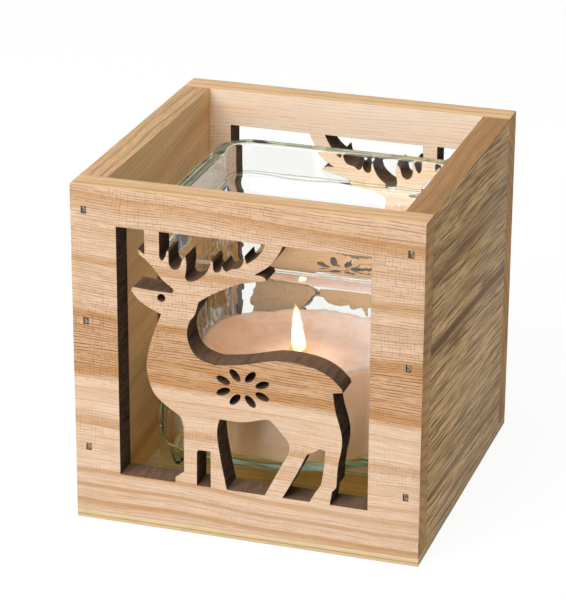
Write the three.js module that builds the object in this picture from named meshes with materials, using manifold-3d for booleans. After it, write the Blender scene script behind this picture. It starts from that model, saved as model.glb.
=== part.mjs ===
// A square wooden lantern: four nailed boards on a plywood base, with a reindeer cut through the
// front and the back board, and a loose square glass cup that holds a short pillar candle.
// Millimetres, +Z up. The origin is the middle of the base's underside, and the front faces -Y.
import * as THREE from 'three';
import { mergeVertices } from 'three/addons/utils/BufferGeometryUtils.js';
import Module from 'manifold-3d';

const wasm = await Module();
wasm.setup();

// The box and its boards.
const BOX_WIDTH = 100;
const BOX_DEPTH = 100;
const BOX_HEIGHT = 100;
const FACE_THICKNESS = 8;
const SIDE_THICKNESS = 8;
const BASE_THICKNESS = 2.5;

// The frame that is left round the window, as seen from outside.
const STILE_LEFT = 13.3;
const STILE_RIGHT = 14.7;
const RAIL_TOP = 11;
const RAIL_BOTTOM = 12.5;

// The fretwork is drawn for a window of this size. It is stretched with the window and cropped by
// it, so the openings that reach the top and the right edge are drawn past them.
const DRAWN_WIDTH = 72;
const DRAWN_HEIGHT = 74;
const DRAWN_OVERRUN = 10;
const EYE_DIAMETER = 2.3;
const PETAL_LENGTH = 4.2;
const PETAL_WIDTH = 2.1;
const BEAM_OVERSHOOT = 1;

// Brads: flat steel pins with a T head, sunk below the wood.
const BRAD_LENGTH = 25;
const BRAD_THICKNESS = 1.3;
const BRAD_SHANK = 1.25;
const BRAD_HEAD = 1.9;
const BRAD_HEAD_HEIGHT = 0.6;
const BRAD_TIP = 2;
const BRAD_TIP_FLAT = 0.4;
const BRAD_SUNK = 0.3;
const BRAD_CLEARANCE = 0.15;
const BRAD_TOP_DROP = 7.2;
const BRAD_MIDDLE_RISE = 57.8;
const BRAD_LOW_RISE = 19.7;
const BRAD_RIGHT_DROP = 1.7;
const BASE_BRAD_INSET = 25;
const BASE_BRAD_COVER = 3;

// The glass cup, loose in the box and pushed towards the right and the back.
const GLASS_GAP_LEFT = 6.3;
const GLASS_GAP_RIGHT = 1.7;
const GLASS_GAP_FRONT = 6;
const GLASS_GAP_BACK = 2;
const GLASS_RIM_DROP = 13.7;
const GLASS_COLLAR_HEIGHT = 12;
const GLASS_COLLAR_STEP = 2;
const GLASS_WALL = 4;
const GLASS_FLOOR = 13;
const GLASS_CORNER = 10.5;
const GLASS_RIM_ROUND = 1.3;
const GLASS_FOOT_ROUND = 2;
const GLASS_FLOOR_FILLET = 1;

// The candle, loose on the flat of the cup's floor.
const CANDLE_GAP_LEFT = 0.4;
const CANDLE_GAP_RIGHT = 3.8;
const CANDLE_GAP_FRONT = 0.6;
const CANDLE_GAP_BACK = 3.6;
const CANDLE_HEIGHT = 27;
const CANDLE_EDGE = 0.8;
const CANDLE_RIM = 3;
const CANDLE_BANK = 2.5;
const POOL_DEPTH = 6.5;
const WICK_DIAMETER = 2;
const WICK_STANDOUT = 4;
const SUSTAINER_DIAMETER = 18;
const SUSTAINER_THICKNESS = 0.5;
const SUSTAINER_TUBE_HEIGHT = 5;
const SUSTAINER_TUBE_WALL = 0.4;
const WAX_CLEARANCE = 0.15;

// How finely the curves are divided.
const FRETWORK_STEPS = 3;
const HOLE_STEPS = 12;
const CORNER_STEPS = 6;
const EDGE_STEPS = 3;
const ROUND_STEPS = 48;

// Colours and finishes.
const BOARD_LOOK = { color: 0xe3bf94, roughness: 0.72, metalness: 0 };
const PLYWOOD_LOOK = { color: 0xecd9b4, roughness: 0.75, metalness: 0 };
const BRAD_LOOK = { color: 0x8b8a86, roughness: 0.45, metalness: 0.9 };
const GLASS_LOOK = { color: 0xd8e6dc, roughness: 0.05, metalness: 0 };
const WAX_LOOK = { color: 0xf3e4d6, roughness: 0.5, metalness: 0 };
const WICK_LOOK = { color: 0x2b2622, roughness: 0.9, metalness: 0 };
const SUSTAINER_LOOK = { color: 0xb4b2ab, roughness: 0.4, metalness: 0.9 };

// Places that follow from the sizes above.
const HALF_WIDTH = BOX_WIDTH / 2;
const HALF_DEPTH = BOX_DEPTH / 2;
const INNER_WIDTH = BOX_WIDTH - 2 * SIDE_THICKNESS;
const INNER_DEPTH = BOX_DEPTH - 2 * FACE_THICKNESS;
const BOARD_HEIGHT = BOX_HEIGHT - BASE_THICKNESS;
const SIDE_MIDDLE = HALF_WIDTH - SIDE_THICKNESS / 2;
const FACE_MIDDLE = HALF_DEPTH - FACE_THICKNESS / 2;
const WINDOW_LEFT = STILE_LEFT - HALF_WIDTH;
const WINDOW_BOTTOM = BASE_THICKNESS + RAIL_BOTTOM;
const WINDOW_WIDTH = BOX_WIDTH - STILE_LEFT - STILE_RIGHT;
const WINDOW_HEIGHT = BOARD_HEIGHT - RAIL_TOP - RAIL_BOTTOM;
const BASE_BRAD_LENGTH = WINDOW_BOTTOM - BASE_BRAD_COVER;
const PAST_RIGHT = DRAWN_WIDTH + DRAWN_OVERRUN;
const PAST_TOP = DRAWN_HEIGHT + DRAWN_OVERRUN;
const QUARTER_TURN = Math.PI / 2;

// Openings of the fretwork, in millimetres from the lower left corner of the drawn window.
const IN_FRONT_OF_THE_CHEST = {
  start: [0, 0],
  strokes: [
    ['lines', [16.3, 0], [16.4, 1.7], [18.9, 3.7], [18.9, 17.4]],
    ['curve', [17.9, 20.3], [14.5, 22.6], [10.6, 25.9], [8.6, 31], [8.4, 36.2], [10, 43], [12.7, 50.1]],
    ['curve', [8.6, 51.9], [6, 53.6], [4, 56.2]],
    ['lines', [4.7, 57.2], [9.5, 56.8], [15.8, 56.7]],
    ['curve', [16.35, 57.5], [15.6, 58.4], [13.4, 60], [11.6, 62], [9.4, 64.6], [6.6, 66.8]],
    ['lines', [6.2, 68.4], [8.1, 67], [8.1, PAST_TOP], [0, PAST_TOP]],
  ],
};
const BETWEEN_THE_ANTLERS = {
  start: [12.4, PAST_TOP],
  strokes: [
    ['lines', [12.4, 66.8]],
    ['curve', [13.1, 65.8], [14, 66.9], [14.6, 68.9]],
    ['lines', [15.1, 68.7]],
    ['curve', [15.2, 65], [16.5, 63.6], [18.1, 64.3], [18.9, 66.6], [19.9, 68]],
    ['curve', [20.2, 65.2], [19.8, 61.8]],
    ['curve', [20.6, 60.8], [22.6, 61.1], [25.3, 63.2], [26.7, 65.6], [27.2, 67.7]],
    ['lines', [27.75, 67.1], [27.8, 65]],
    ['curve', [28.5, 64.3], [29.8, 64.9], [30.3, 66.6]],
    ['lines', [30.7, 65.5]],
    ['curve', [31.6, 64.9], [33, 65.8], [35, 66.3], [36.1, 67.6], [36.7, 70]],
    ['lines', [37.1, 68.2]],
    ['curve', [37.7, 68.1], [40, 69.9], [41.4, 71.8], [42.5, 74]],
    ['lines', [42.5, PAST_TOP]],
  ],
};
const OVER_THE_BACK = {
  start: [47.4, PAST_TOP],
  strokes: [
    ['lines', [47.4, 74]],
    ['curve', [45.9, 71], [43.6, 67.9], [39.5, 64.9]],
    ['lines', [41.1, 64.9], [42.3, 64.5], [42.9, 63.6]],
    ['curve', [39.1, 62.7], [35.7, 61.9], [31.8, 60.1], [27.7, 57.9], [23.6, 55.1]],
    ['curve', [22.5, 51.3], [20.8, 48.7], [20.2, 45], [21.2, 41.2], [23.6, 38.4], [28, 37.1]],
    ['curve', [35, 38.1], [41.5, 39.8], [46, 40.8], [51, 40.8], [56.5, 40], [61, 38], [64.3, 35]],
    ['lines', [64.6, 33.9], [61.8, 33.4]],
    ['curve', [62.6, 28.2], [64.3, 22], [64.5, 17.8], [63.5, 12], [63.1, 5.4]],
    ['lines', [61.9, 4], [61.3, 0], [PAST_RIGHT, 0], [PAST_RIGHT, PAST_TOP]],
  ],
};
const BETWEEN_THE_FORELEGS = {
  start: [22.7, 0],
  strokes: [['lines', [22.8, 10.2], [23.3, 10.9], [26.7, 10.9], [26.75, 0]]],
};
const UNDER_THE_BELLY = {
  start: [31.5, 0],
  strokes: [
    ['curve', [30, 7.5], [28.9, 14.5], [28.8, 18.3], [29.5, 21.1]],
    ['curve', [35.6, 21.1], [39.5, 22], [42.4, 22.9]],
    ['lines', [44, 22.8]],
    ['curve', [47, 19.6], [49.3, 16.8], [49.2, 13.7], [46.1, 7.4], [42.5, 0]],
  ],
};
const BETWEEN_THE_HIND_LEGS = {
  start: [47.7, 0],
  strokes: [
    ['curve', [51.9, 8.2], [54.6, 14.1]],
    ['curve', [57, 15.4], [58.4, 16.4]],
    ['lines', [59.8, 15.9]],
    ['curve', [59.3, 9.5], [58.6, 5.5]],
    ['lines', [57, 3], [55.4, 0]],
  ],
};
const OPENINGS = [
  IN_FRONT_OF_THE_CHEST,
  BETWEEN_THE_ANTLERS,
  OVER_THE_BACK,
  BETWEEN_THE_FORELEGS,
  UNDER_THE_BELLY,
  BETWEEN_THE_HIND_LEGS,
];
const EYE_PLACE = [12.85, 54.9];
const ROSETTE_PLACE = [36.15, 31.3];

// One petal of each kind, from the middle of the rosette: its place and how far it leans from level.
const PETALS = [
  { across: 5.6, up: 1.7, lean: THREE.MathUtils.degToRad(24) },
  { across: 2.2, up: 3.6, lean: THREE.MathUtils.degToRad(49) },
];

// A closed mesh as a solid that can be cut and joined.
function solidOf(geometry) {
  const bare = geometry.clone();
  bare.deleteAttribute('normal');
  bare.deleteAttribute('uv');
  const welded = mergeVertices(bare);
  return new wasm.Manifold(new wasm.Mesh({
    numProp: 3,
    vertProperties: Float32Array.from(welded.attributes.position.array),
    triVerts: Uint32Array.from(welded.index.array),
  }));
}

// A solid back as a mesh.
function geometryOf(solid) {
  const { vertProperties, triVerts } = solid.getMesh();
  const geometry = new THREE.BufferGeometry();
  geometry.setAttribute('position', new THREE.BufferAttribute(vertProperties, 3));
  geometry.setIndex(new THREE.BufferAttribute(triVerts, 1));
  geometry.computeVertexNormals();
  return geometry;
}

// A mesh with each tool's space taken out of it.
function cutAway(geometry, tools) {
  let solid = solidOf(geometry);
  for (const tool of tools) {
    solid = solid.subtract(solidOf(tool));
  }
  return geometryOf(solid);
}

// What two meshes share.
function cropped(geometry, limits) {
  return geometryOf(solidOf(geometry).intersect(solidOf(limits)));
}

// A named piece with its own material.
function piece(name, geometry, look) {
  const mesh = new THREE.Mesh(geometry, new THREE.MeshStandardMaterial(look));
  mesh.name = name;
  return mesh;
}

// A plain board between two corners.
function board(low, high) {
  const size = high.map((value, axis) => value - low[axis]);
  const middle = high.map((value, axis) => (value + low[axis]) / 2);
  return new THREE.BoxGeometry(...size).translate(...middle);
}

// A point of the fretwork drawing on the board.
function onBoard([across, up]) {
  return new THREE.Vector2(
    WINDOW_LEFT + across * WINDOW_WIDTH / DRAWN_WIDTH,
    WINDOW_BOTTOM + up * WINDOW_HEIGHT / DRAWN_HEIGHT,
  );
}

// The outline of one opening.
function openingShape({ start, strokes }) {
  const shape = new THREE.Shape();
  shape.moveTo(...onBoard(start));
  for (const [kind, ...points] of strokes) {
    const places = points.map(onBoard);
    if (kind === 'curve') {
      shape.splineThru(places);
    } else {
      places.forEach((place) => shape.lineTo(...place));
    }
  }
  shape.closePath();
  return shape;
}

// An oval hole, given its middle, its length and width and the lean of its length.
function ovalShape(middle, length, width, lean) {
  const points = new THREE.EllipseCurve(
    middle.x, middle.y, length / 2, width / 2, 0, 2 * Math.PI, false, lean,
  ).getPoints(HOLE_STEPS);
  return new THREE.Shape(points.slice(0, -1));
}

// The eight petals of the rosette, two kinds in each quarter.
function rosetteShapes() {
  const middle = onBoard(ROSETTE_PLACE);
  const shapes = [];
  for (const side of [1, -1]) {
    for (const height of [1, -1]) {
      for (const { across, up, lean } of PETALS) {
        const place = new THREE.Vector2(middle.x + side * across, middle.y + height * up);
        shapes.push(ovalShape(place, PETAL_LENGTH, PETAL_WIDTH, side * height * lean));
      }
    }
  }
  return shapes;
}

// The beam's path through the board for one outline: it starts and ends clear of the faces.
function beamThrough(shape) {
  return new THREE.ExtrudeGeometry(shape, {
    depth: FACE_THICKNESS + 2 * BEAM_OVERSHOOT,
    bevelEnabled: false,
    curveSegments: FRETWORK_STEPS,
  }).rotateX(QUARTER_TURN).translate(0, FACE_THICKNESS + BEAM_OVERSHOOT - HALF_DEPTH, 0);
}

// The space of the whole window, through and past both faces of the board.
function windowBlock() {
  const past = 2 * BEAM_OVERSHOOT;
  return board(
    [WINDOW_LEFT, -HALF_DEPTH - past, WINDOW_BOTTOM],
    [WINDOW_LEFT + WINDOW_WIDTH, FACE_THICKNESS - HALF_DEPTH + past, WINDOW_BOTTOM + WINDOW_HEIGHT],
  );
}

// The cut board of the front, with its outer face at the front of the box.
function fretworkBoard() {
  const blank = board(
    [-HALF_WIDTH, -HALF_DEPTH, BASE_THICKNESS],
    [HALF_WIDTH, FACE_THICKNESS - HALF_DEPTH, BOX_HEIGHT],
  );
  const openings = OPENINGS.map((opening) => cropped(beamThrough(openingShape(opening)), windowBlock()));
  const eye = ovalShape(onBoard(EYE_PLACE), EYE_DIAMETER, EYE_DIAMETER, 0);
  return cutAway(blank, [...openings, ...[eye, ...rosetteShapes()].map(beamThrough)]);
}

// A brad along +Y with its head at the origin. A pocket for one is grown all round, and its head
// reaches out of the wood.
function bradGeometry(length, grow = 0, reach = 0) {
  const head = BRAD_HEAD / 2 + grow;
  const shank = BRAD_SHANK / 2 + grow;
  const tip = BRAD_TIP_FLAT / 2 + grow;
  const headEnd = BRAD_HEAD_HEIGHT + grow;
  const profile = new THREE.Shape([
    new THREE.Vector2(-head, -reach),
    new THREE.Vector2(head, -reach),
    new THREE.Vector2(head, headEnd),
    new THREE.Vector2(shank, headEnd),
    new THREE.Vector2(shank, length - BRAD_TIP),
    new THREE.Vector2(tip, length + grow),
    new THREE.Vector2(-tip, length + grow),
    new THREE.Vector2(-shank, length - BRAD_TIP),
    new THREE.Vector2(-shank, headEnd),
    new THREE.Vector2(-head, headEnd),
  ]);
  const thickness = BRAD_THICKNESS + 2 * grow;
  return new THREE.ExtrudeGeometry(profile, { depth: thickness, bevelEnabled: false })
    .translate(0, 0, -thickness / 2)
    .rotateY(QUARTER_TURN);
}

// A brad in its place, which also knows the pocket that it needs.
function bradAt(name, length, position, rotation) {
  const brad = piece(name, bradGeometry(length), BRAD_LOOK);
  brad.position.set(...position);
  brad.rotation.set(...rotation);
  brad.updateMatrix();
  const pocket = bradGeometry(length, BRAD_CLEARANCE, BRAD_SUNK + BRAD_CLEARANCE);
  return { brad, pocket: pocket.applyMatrix4(brad.matrix) };
}

// The brads of one upright edge, from the top down. A face's right row sits a little lower than its
// left row, as seen from outside.
function edgeBrads(face, side) {
  const outward = face === 'front' ? -1 : 1;
  const sideways = side === 'left' ? -1 : 1;
  const drop = outward === -sideways ? BRAD_RIGHT_DROP : 0;
  const heights = [
    BOX_HEIGHT - BRAD_TOP_DROP - drop,
    BASE_THICKNESS + BRAD_MIDDLE_RISE - drop,
    BASE_THICKNESS + BRAD_LOW_RISE - drop,
  ];
  const turn = outward < 0 ? 0 : Math.PI;
  return heights.map((height, index) => bradAt(
    `${face}_${side}_brad_${index + 1}`,
    BRAD_LENGTH,
    [sideways * SIDE_MIDDLE, outward * (HALF_DEPTH - BRAD_SUNK), height],
    [0, 0, turn],
  ));
}

// The two brads that hold the base to one board from below.
function baseBrads(name) {
  const along = name === 'front' || name === 'back' ? 0 : 1;
  const outward = name === 'front' || name === 'left' ? -1 : 1;
  return [-1, 1].map((end, index) => {
    const position = along === 0
      ? [end * (HALF_WIDTH - BASE_BRAD_INSET), outward * FACE_MIDDLE, BRAD_SUNK]
      : [outward * SIDE_MIDDLE, end * (HALF_DEPTH - BASE_BRAD_INSET), BRAD_SUNK];
    const turn = along === 0 ? QUARTER_TURN : 0;
    return bradAt(`base_${name}_brad_${index + 1}`, BASE_BRAD_LENGTH, position, [QUARTER_TURN, turn, 0]);
  });
}

// A block with round upright corners and rounded lower and upper edges.
function roundedBlock(low, high, corner, edge) {
  const [left, front, bottom] = low;
  const [right, back, top] = high;
  const outline = new THREE.Shape();
  outline.absarc(right - corner, back - corner, corner, 0, QUARTER_TURN, false);
  outline.absarc(left + corner, back - corner, corner, QUARTER_TURN, Math.PI, false);
  outline.absarc(left + corner, front + corner, corner, Math.PI, 3 * QUARTER_TURN, false);
  outline.absarc(right - corner, front + corner, corner, 3 * QUARTER_TURN, 4 * QUARTER_TURN, false);
  outline.closePath();
  return new THREE.ExtrudeGeometry(outline, {
    depth: top - bottom - 2 * edge,
    curveSegments: CORNER_STEPS,
    bevelThickness: edge,
    bevelSize: edge,
    bevelOffset: -edge,
    bevelSegments: EDGE_STEPS,
  }).translate(0, 0, bottom + edge);
}

// Where the cup stands: the outside of its collar, and how far each surface lies inside that.
const cup = {
  left: GLASS_GAP_LEFT - INNER_WIDTH / 2,
  right: INNER_WIDTH / 2 - GLASS_GAP_RIGHT,
  front: GLASS_GAP_FRONT - INNER_DEPTH / 2,
  back: INNER_DEPTH / 2 - GLASS_GAP_BACK,
  foot: BASE_THICKNESS,
  floor: BASE_THICKNESS + GLASS_FLOOR,
  rim: BOX_HEIGHT - GLASS_RIM_DROP,
  inside: GLASS_COLLAR_STEP + GLASS_WALL,
  flat: GLASS_COLLAR_STEP + GLASS_WALL + GLASS_FLOOR_FILLET,
};

// A block of the cup: its outline lies a step inside the collar's.
function cupBlock(inset, bottom, top, edge) {
  const corner = Math.max(GLASS_CORNER - inset, 2 * edge);
  return roundedBlock(
    [cup.left + inset, cup.front + inset, bottom],
    [cup.right - inset, cup.back - inset, top],
    corner,
    edge,
  );
}

// The pressed glass cup: a straight body under a wider collar, hollow down to a thick floor.
function glassCup() {
  const collarFoot = cup.rim - GLASS_COLLAR_HEIGHT;
  const aboveRim = cup.rim + 2 * GLASS_FLOOR_FILLET;
  const body = cupBlock(GLASS_COLLAR_STEP, cup.foot, cup.rim - GLASS_WALL, GLASS_FOOT_ROUND);
  const collar = cupBlock(0, collarFoot, cup.rim, GLASS_RIM_ROUND);
  const hollow = cupBlock(cup.inside, cup.floor, aboveRim, GLASS_FLOOR_FILLET);
  const collarHollow = cupBlock(GLASS_WALL, collarFoot + GLASS_RIM_ROUND, aboveRim, GLASS_RIM_ROUND);
  return cutAway(geometryOf(solidOf(body).add(solidOf(collar))), [hollow, collarHollow]);
}

// A turned piece from radius and height pairs.
function turned(profile) {
  const points = profile.map(([radius, height]) => new THREE.Vector2(radius, height));
  return new THREE.LatheGeometry(points, ROUND_STEPS).rotateX(QUARTER_TURN);
}

const candleDiameter = Math.min(
  cup.right - cup.left - 2 * cup.flat - CANDLE_GAP_LEFT - CANDLE_GAP_RIGHT,
  cup.back - cup.front - 2 * cup.flat - CANDLE_GAP_FRONT - CANDLE_GAP_BACK,
);
const candleRadius = candleDiameter / 2;
const wickRadius = WICK_DIAMETER / 2;
const tubeInside = wickRadius + WAX_CLEARANCE;
const tubeOutside = tubeInside + SUSTAINER_TUBE_WALL;
const sustainerRadius = SUSTAINER_DIAMETER / 2;
const poolHeight = CANDLE_HEIGHT - POOL_DEPTH;

// Wax with a burnt hollow, a bore for the wick and a recess for the sustainer under it.
function candleWax() {
  const bankTop = candleRadius - CANDLE_RIM;
  const tubeBore = tubeOutside + WAX_CLEARANCE;
  const plateBore = sustainerRadius + WAX_CLEARANCE;
  const tubeTop = SUSTAINER_THICKNESS + SUSTAINER_TUBE_HEIGHT + WAX_CLEARANCE;
  const plateTop = SUSTAINER_THICKNESS + WAX_CLEARANCE;
  return turned([
    [plateBore, 0],
    [candleRadius - CANDLE_EDGE, 0],
    [candleRadius, CANDLE_EDGE],
    [candleRadius, CANDLE_HEIGHT - CANDLE_EDGE],
    [candleRadius - CANDLE_EDGE, CANDLE_HEIGHT],
    [bankTop, CANDLE_HEIGHT - CANDLE_EDGE],
    [bankTop - CANDLE_BANK, poolHeight],
    [tubeInside, poolHeight],
    [tubeInside, tubeTop],
    [tubeBore, tubeTop],
    [tubeBore, plateTop],
    [plateBore, plateTop],
    [plateBore, 0],
  ]);
}

// The steel plate and tube that hold the wick upright.
function wickSustainer() {
  const tubeTop = SUSTAINER_THICKNESS + SUSTAINER_TUBE_HEIGHT;
  return turned([
    [0, 0],
    [sustainerRadius, 0],
    [sustainerRadius, SUSTAINER_THICKNESS],
    [tubeOutside, SUSTAINER_THICKNESS],
    [tubeOutside, tubeTop],
    [tubeInside, tubeTop],
    [tubeInside, SUSTAINER_THICKNESS],
    [0, SUSTAINER_THICKNESS],
  ]);
}

// The wick, from the plate to above the melted wax.
function candleWick() {
  const top = poolHeight + WICK_STANDOUT;
  return turned([
    [0, SUSTAINER_THICKNESS],
    [wickRadius, SUSTAINER_THICKNESS],
    [wickRadius, top - wickRadius / 2],
    [wickRadius / 2, top],
    [0, top],
  ]);
}

// The brads, by the board edges that they pass through.
const brads = {
  frontLeft: edgeBrads('front', 'left'),
  frontRight: edgeBrads('front', 'right'),
  backLeft: edgeBrads('back', 'left'),
  backRight: edgeBrads('back', 'right'),
  baseFront: baseBrads('front'),
  baseBack: baseBrads('back'),
  baseLeft: baseBrads('left'),
  baseRight: baseBrads('right'),
};

// The pockets of some of those groups.
function pockets(...groups) {
  return groups.flatMap((group) => brads[group].map(({ pocket }) => pocket));
}

// The wooden box.
const fretwork = fretworkBoard();
const frontBoard = cutAway(fretwork, pockets('frontLeft', 'frontRight', 'baseFront'));
const backBoard = cutAway(
  fretwork.clone().rotateZ(Math.PI),
  pockets('backLeft', 'backRight', 'baseBack'),
);
const leftBoard = cutAway(
  board(
    [-HALF_WIDTH, FACE_THICKNESS - HALF_DEPTH, BASE_THICKNESS],
    [SIDE_THICKNESS - HALF_WIDTH, HALF_DEPTH - FACE_THICKNESS, BOX_HEIGHT],
  ),
  pockets('frontLeft', 'backLeft', 'baseLeft'),
);
const rightBoard = cutAway(
  board(
    [HALF_WIDTH - SIDE_THICKNESS, FACE_THICKNESS - HALF_DEPTH, BASE_THICKNESS],
    [HALF_WIDTH, HALF_DEPTH - FACE_THICKNESS, BOX_HEIGHT],
  ),
  pockets('frontRight', 'backRight', 'baseRight'),
);
const baseBoard = cutAway(
  board([-HALF_WIDTH, -HALF_DEPTH, 0], [HALF_WIDTH, HALF_DEPTH, BASE_THICKNESS]),
  pockets('baseFront', 'baseBack', 'baseLeft', 'baseRight'),
);
const box = new THREE.Group();
box.add(
  piece('front_panel', frontBoard, BOARD_LOOK),
  piece('back_panel', backBoard, BOARD_LOOK),
  piece('left_panel', leftBoard, BOARD_LOOK),
  piece('right_panel', rightBoard, BOARD_LOOK),
  piece('base_board', baseBoard, PLYWOOD_LOOK),
);
for (const { brad } of Object.values(brads).flat()) {
  box.add(brad);
}

// The candle, standing on the floor of the cup.
const candle = new THREE.Group();
candle.position.set(
  cup.left + cup.flat + CANDLE_GAP_LEFT + candleRadius,
  cup.front + cup.flat + CANDLE_GAP_FRONT + candleRadius,
  cup.floor,
);
candle.add(
  piece('candle_wax', candleWax(), WAX_LOOK),
  piece('candle_wick', candleWick(), WICK_LOOK),
  piece('wick_sustainer', wickSustainer(), SUSTAINER_LOOK),
);

const lantern = new THREE.Group();
lantern.add(box, piece('glass_cup', glassCup(), GLASS_LOOK), candle);

export default lantern;
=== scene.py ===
"""A square wooden lantern with reindeer fretwork, a loose glass cup and a burning pillar candle."""
import math
from typing import NamedTuple

import bmesh
import bpy
from bpy.props import FloatProperty, FloatVectorProperty, PointerProperty
from mathutils import Matrix, Vector, noise


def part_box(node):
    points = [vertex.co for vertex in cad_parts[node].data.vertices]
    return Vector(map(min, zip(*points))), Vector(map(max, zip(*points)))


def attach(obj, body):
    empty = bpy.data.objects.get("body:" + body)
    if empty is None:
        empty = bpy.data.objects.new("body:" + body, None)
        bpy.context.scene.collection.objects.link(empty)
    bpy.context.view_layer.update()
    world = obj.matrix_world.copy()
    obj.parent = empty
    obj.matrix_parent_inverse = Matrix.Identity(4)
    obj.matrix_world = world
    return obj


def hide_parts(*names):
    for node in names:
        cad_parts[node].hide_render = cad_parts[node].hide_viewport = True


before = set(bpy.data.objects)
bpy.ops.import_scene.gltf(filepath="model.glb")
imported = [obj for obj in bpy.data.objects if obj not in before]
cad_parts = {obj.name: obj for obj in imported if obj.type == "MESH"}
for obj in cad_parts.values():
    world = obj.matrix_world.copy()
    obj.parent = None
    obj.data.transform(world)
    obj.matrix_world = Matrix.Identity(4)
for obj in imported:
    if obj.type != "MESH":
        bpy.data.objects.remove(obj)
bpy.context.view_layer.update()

bl_info = {
    "name": "Wooden Lantern",
    "version": (1, 0, 0),
    "blender": (4, 5, 0),
    "location": "3D View > Sidebar > Lantern",
    "description": "Dresses the boards, glass cup and candle of a small fretwork lantern",
    "category": "Object",
}

MM = 0.001
X, Y, Z = 0, 1, 2
UP = (0.0, 0.0, 1.0)
FULL_TURN = 2 * math.pi
QUARTER_TURN = math.pi / 2
BLACK = (0.0, 0.0, 0.0)
WHITE = (1.0, 1.0, 1.0)

# Bodies that the pieces ride on
BOX_BODY = "box"
GLASS_BODY = "glass"
CANDLE_BODY = "candle"

# Joining and sorting the faces of a copied solid
JOIN_DISTANCE = 0.002 * MM
FLAT_ANGLE = math.radians(0.4)
SQUARE_ON = 0.995
TOUCHING = 0.05 * MM
CREASE_ANGLE = math.radians(38)

# Sawn edges of a board, and how far its cuts lie from them
EDGE_CUTS = 48
WINDOW_MARGIN = 9.0 * MM

# Rings of a ledge on the glass cup
LEDGE_STEPS = 10

# Burnt top of the candle, and its flame
RIM_LIFT = 1.3 * MM
RIM_TILT = 1.9 * MM
POOL_DEPTH = 6.5 * MM
FLAME_DROP = 5.3 * MM
FLAME_LEAN = 1.1 * MM

# Material places on a board
FACE, LONG_EDGE, END, CUT, POCKET = 0, 1, 2, 3, 4
OUTER_PAIRS = ({FACE, LONG_EDGE}, {FACE, END}, {LONG_EDGE, END})


class Grain(NamedTuple):
    """How one sawn surface was cut from the log."""

    along: int          # axis that the fibres run along
    across: int         # axis that the growth bands are stacked on
    slope: float        # rise of the bands for each metre along the fibres
    sway: float         # mm that the bands sway up and down
    bands: tuple        # height in mm, half width in mm and depth of colour of each broad band
    crowding: tuple     # height in mm and strength of the fine grain lines there
    spacing: float      # mm between the fine lines
    dash: float         # mm that a fine line runs before it breaks
    lined: float        # strength of the fine lines
    hatched: float      # strength of the marks across the grain
    streaked: float     # strength of the short dark streaks
    seed: float         # shifts the pattern, so that no two boards are alike


FRONT_GRAIN = Grain(
    along=X, across=Z, slope=-0.030, sway=5.2,
    bands=(
        (4.5, 1.0, 0.90), (9.0, 1.1, 0.82), (13.5, 1.2, 0.60), (22.5, 1.5, 0.22), (29.5, 2.1, 0.50),
        (44.6, 2.2, 1.00), (60.5, 1.6, 0.75), (76.5, 2.0, 0.75), (86.0, 1.6, 0.30), (95.0, 4.2, 0.50),
    ),
    crowding=(
        (0, 0.26), (14, 0.26), (26, 0.35), (30, 0.45), (33, 0.18), (41, 0.22),
        (45, 1.0), (60, 1.0), (64, 0.58), (86, 0.50), (96, 0.64),
    ),
    spacing=0.78, dash=6.5, lined=1.00, hatched=0.62, streaked=0.08, seed=1.7,
)
BACK_GRAIN = Grain(
    along=X, across=Z, slope=0.020, sway=5.2,
    bands=((13.5, 1.8, 0.50), (46.0, 30.0, 1.00), (84.0, 3.0, 0.18)),
    crowding=((0, 0.8), (50, 1.0), (88, 0.9), (100, 0.6)),
    spacing=1.05, dash=6.0, lined=0.26, hatched=0.08, streaked=0.10, seed=6.1,
)
LEFT_GRAIN = Grain(
    along=Y, across=Z, slope=0.090, sway=5.2,
    bands=((12.0, 4.0, 0.50), (33.0, 3.0, 0.40), (52.0, 5.0, 0.30), (68.0, 3.0, 0.40), (88.0, 6.0, 0.45)),
    crowding=((0, 0.8), (100, 0.8)),
    spacing=1.60, dash=14.0, lined=0.20, hatched=0.06, streaked=0.14, seed=11.3,
)
RIGHT_GRAIN = Grain(
    along=Y, across=Z, slope=-0.070, sway=2.6,
    bands=(
        (13.8, 1.4, 0.85), (22.0, 6.5, 0.25), (32.5, 1.4, 0.35), (57.2, 2.6, 0.95), (66.0, 2.4, 0.25),
        (80.5, 9.0, 0.42), (93.0, 3.2, 0.25),
    ),
    crowding=((0, 0.30), (12, 0.36), (20, 0.42), (34, 0.50), (50, 0.48), (70, 0.58), (100, 0.58)),
    spacing=0.80, dash=11.0, lined=0.62, hatched=0.06, streaked=0.90, seed=15.9,
)
FACE_EDGE_GRAIN = Grain(
    along=X, across=Y, slope=0.010, sway=5.2,
    bands=((-47.0, 1.2, 0.50), (-44.0, 0.8, 0.35), (45.5, 1.5, 0.45)),
    crowding=((0, 0.4), (100, 0.4)),
    spacing=0.90, dash=9.0, lined=0.60, hatched=0.10, streaked=0.25, seed=21.2,
)
SIDE_EDGE_GRAIN = Grain(
    along=Y, across=X, slope=0.008, sway=5.2,
    bands=((-47.5, 0.9, 0.40), (-44.5, 0.8, 0.55), (44.0, 0.9, 0.60), (47.5, 1.1, 0.45)),
    crowding=((0, 0.7), (100, 0.7)),
    spacing=0.75, dash=12.0, lined=0.95, hatched=0.05, streaked=0.30, seed=26.4,
)
SHEET_GRAIN = Grain(
    along=X, across=Y, slope=0.015, sway=5.2,
    bands=((-30.0, 4.0, 0.30), (-5.0, 3.0, 0.40), (22.0, 5.0, 0.30)),
    crowding=((0, 0.7), (100, 0.7)),
    spacing=1.40, dash=14.0, lined=0.35, hatched=0.10, streaked=0.10, seed=31.8,
)


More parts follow.
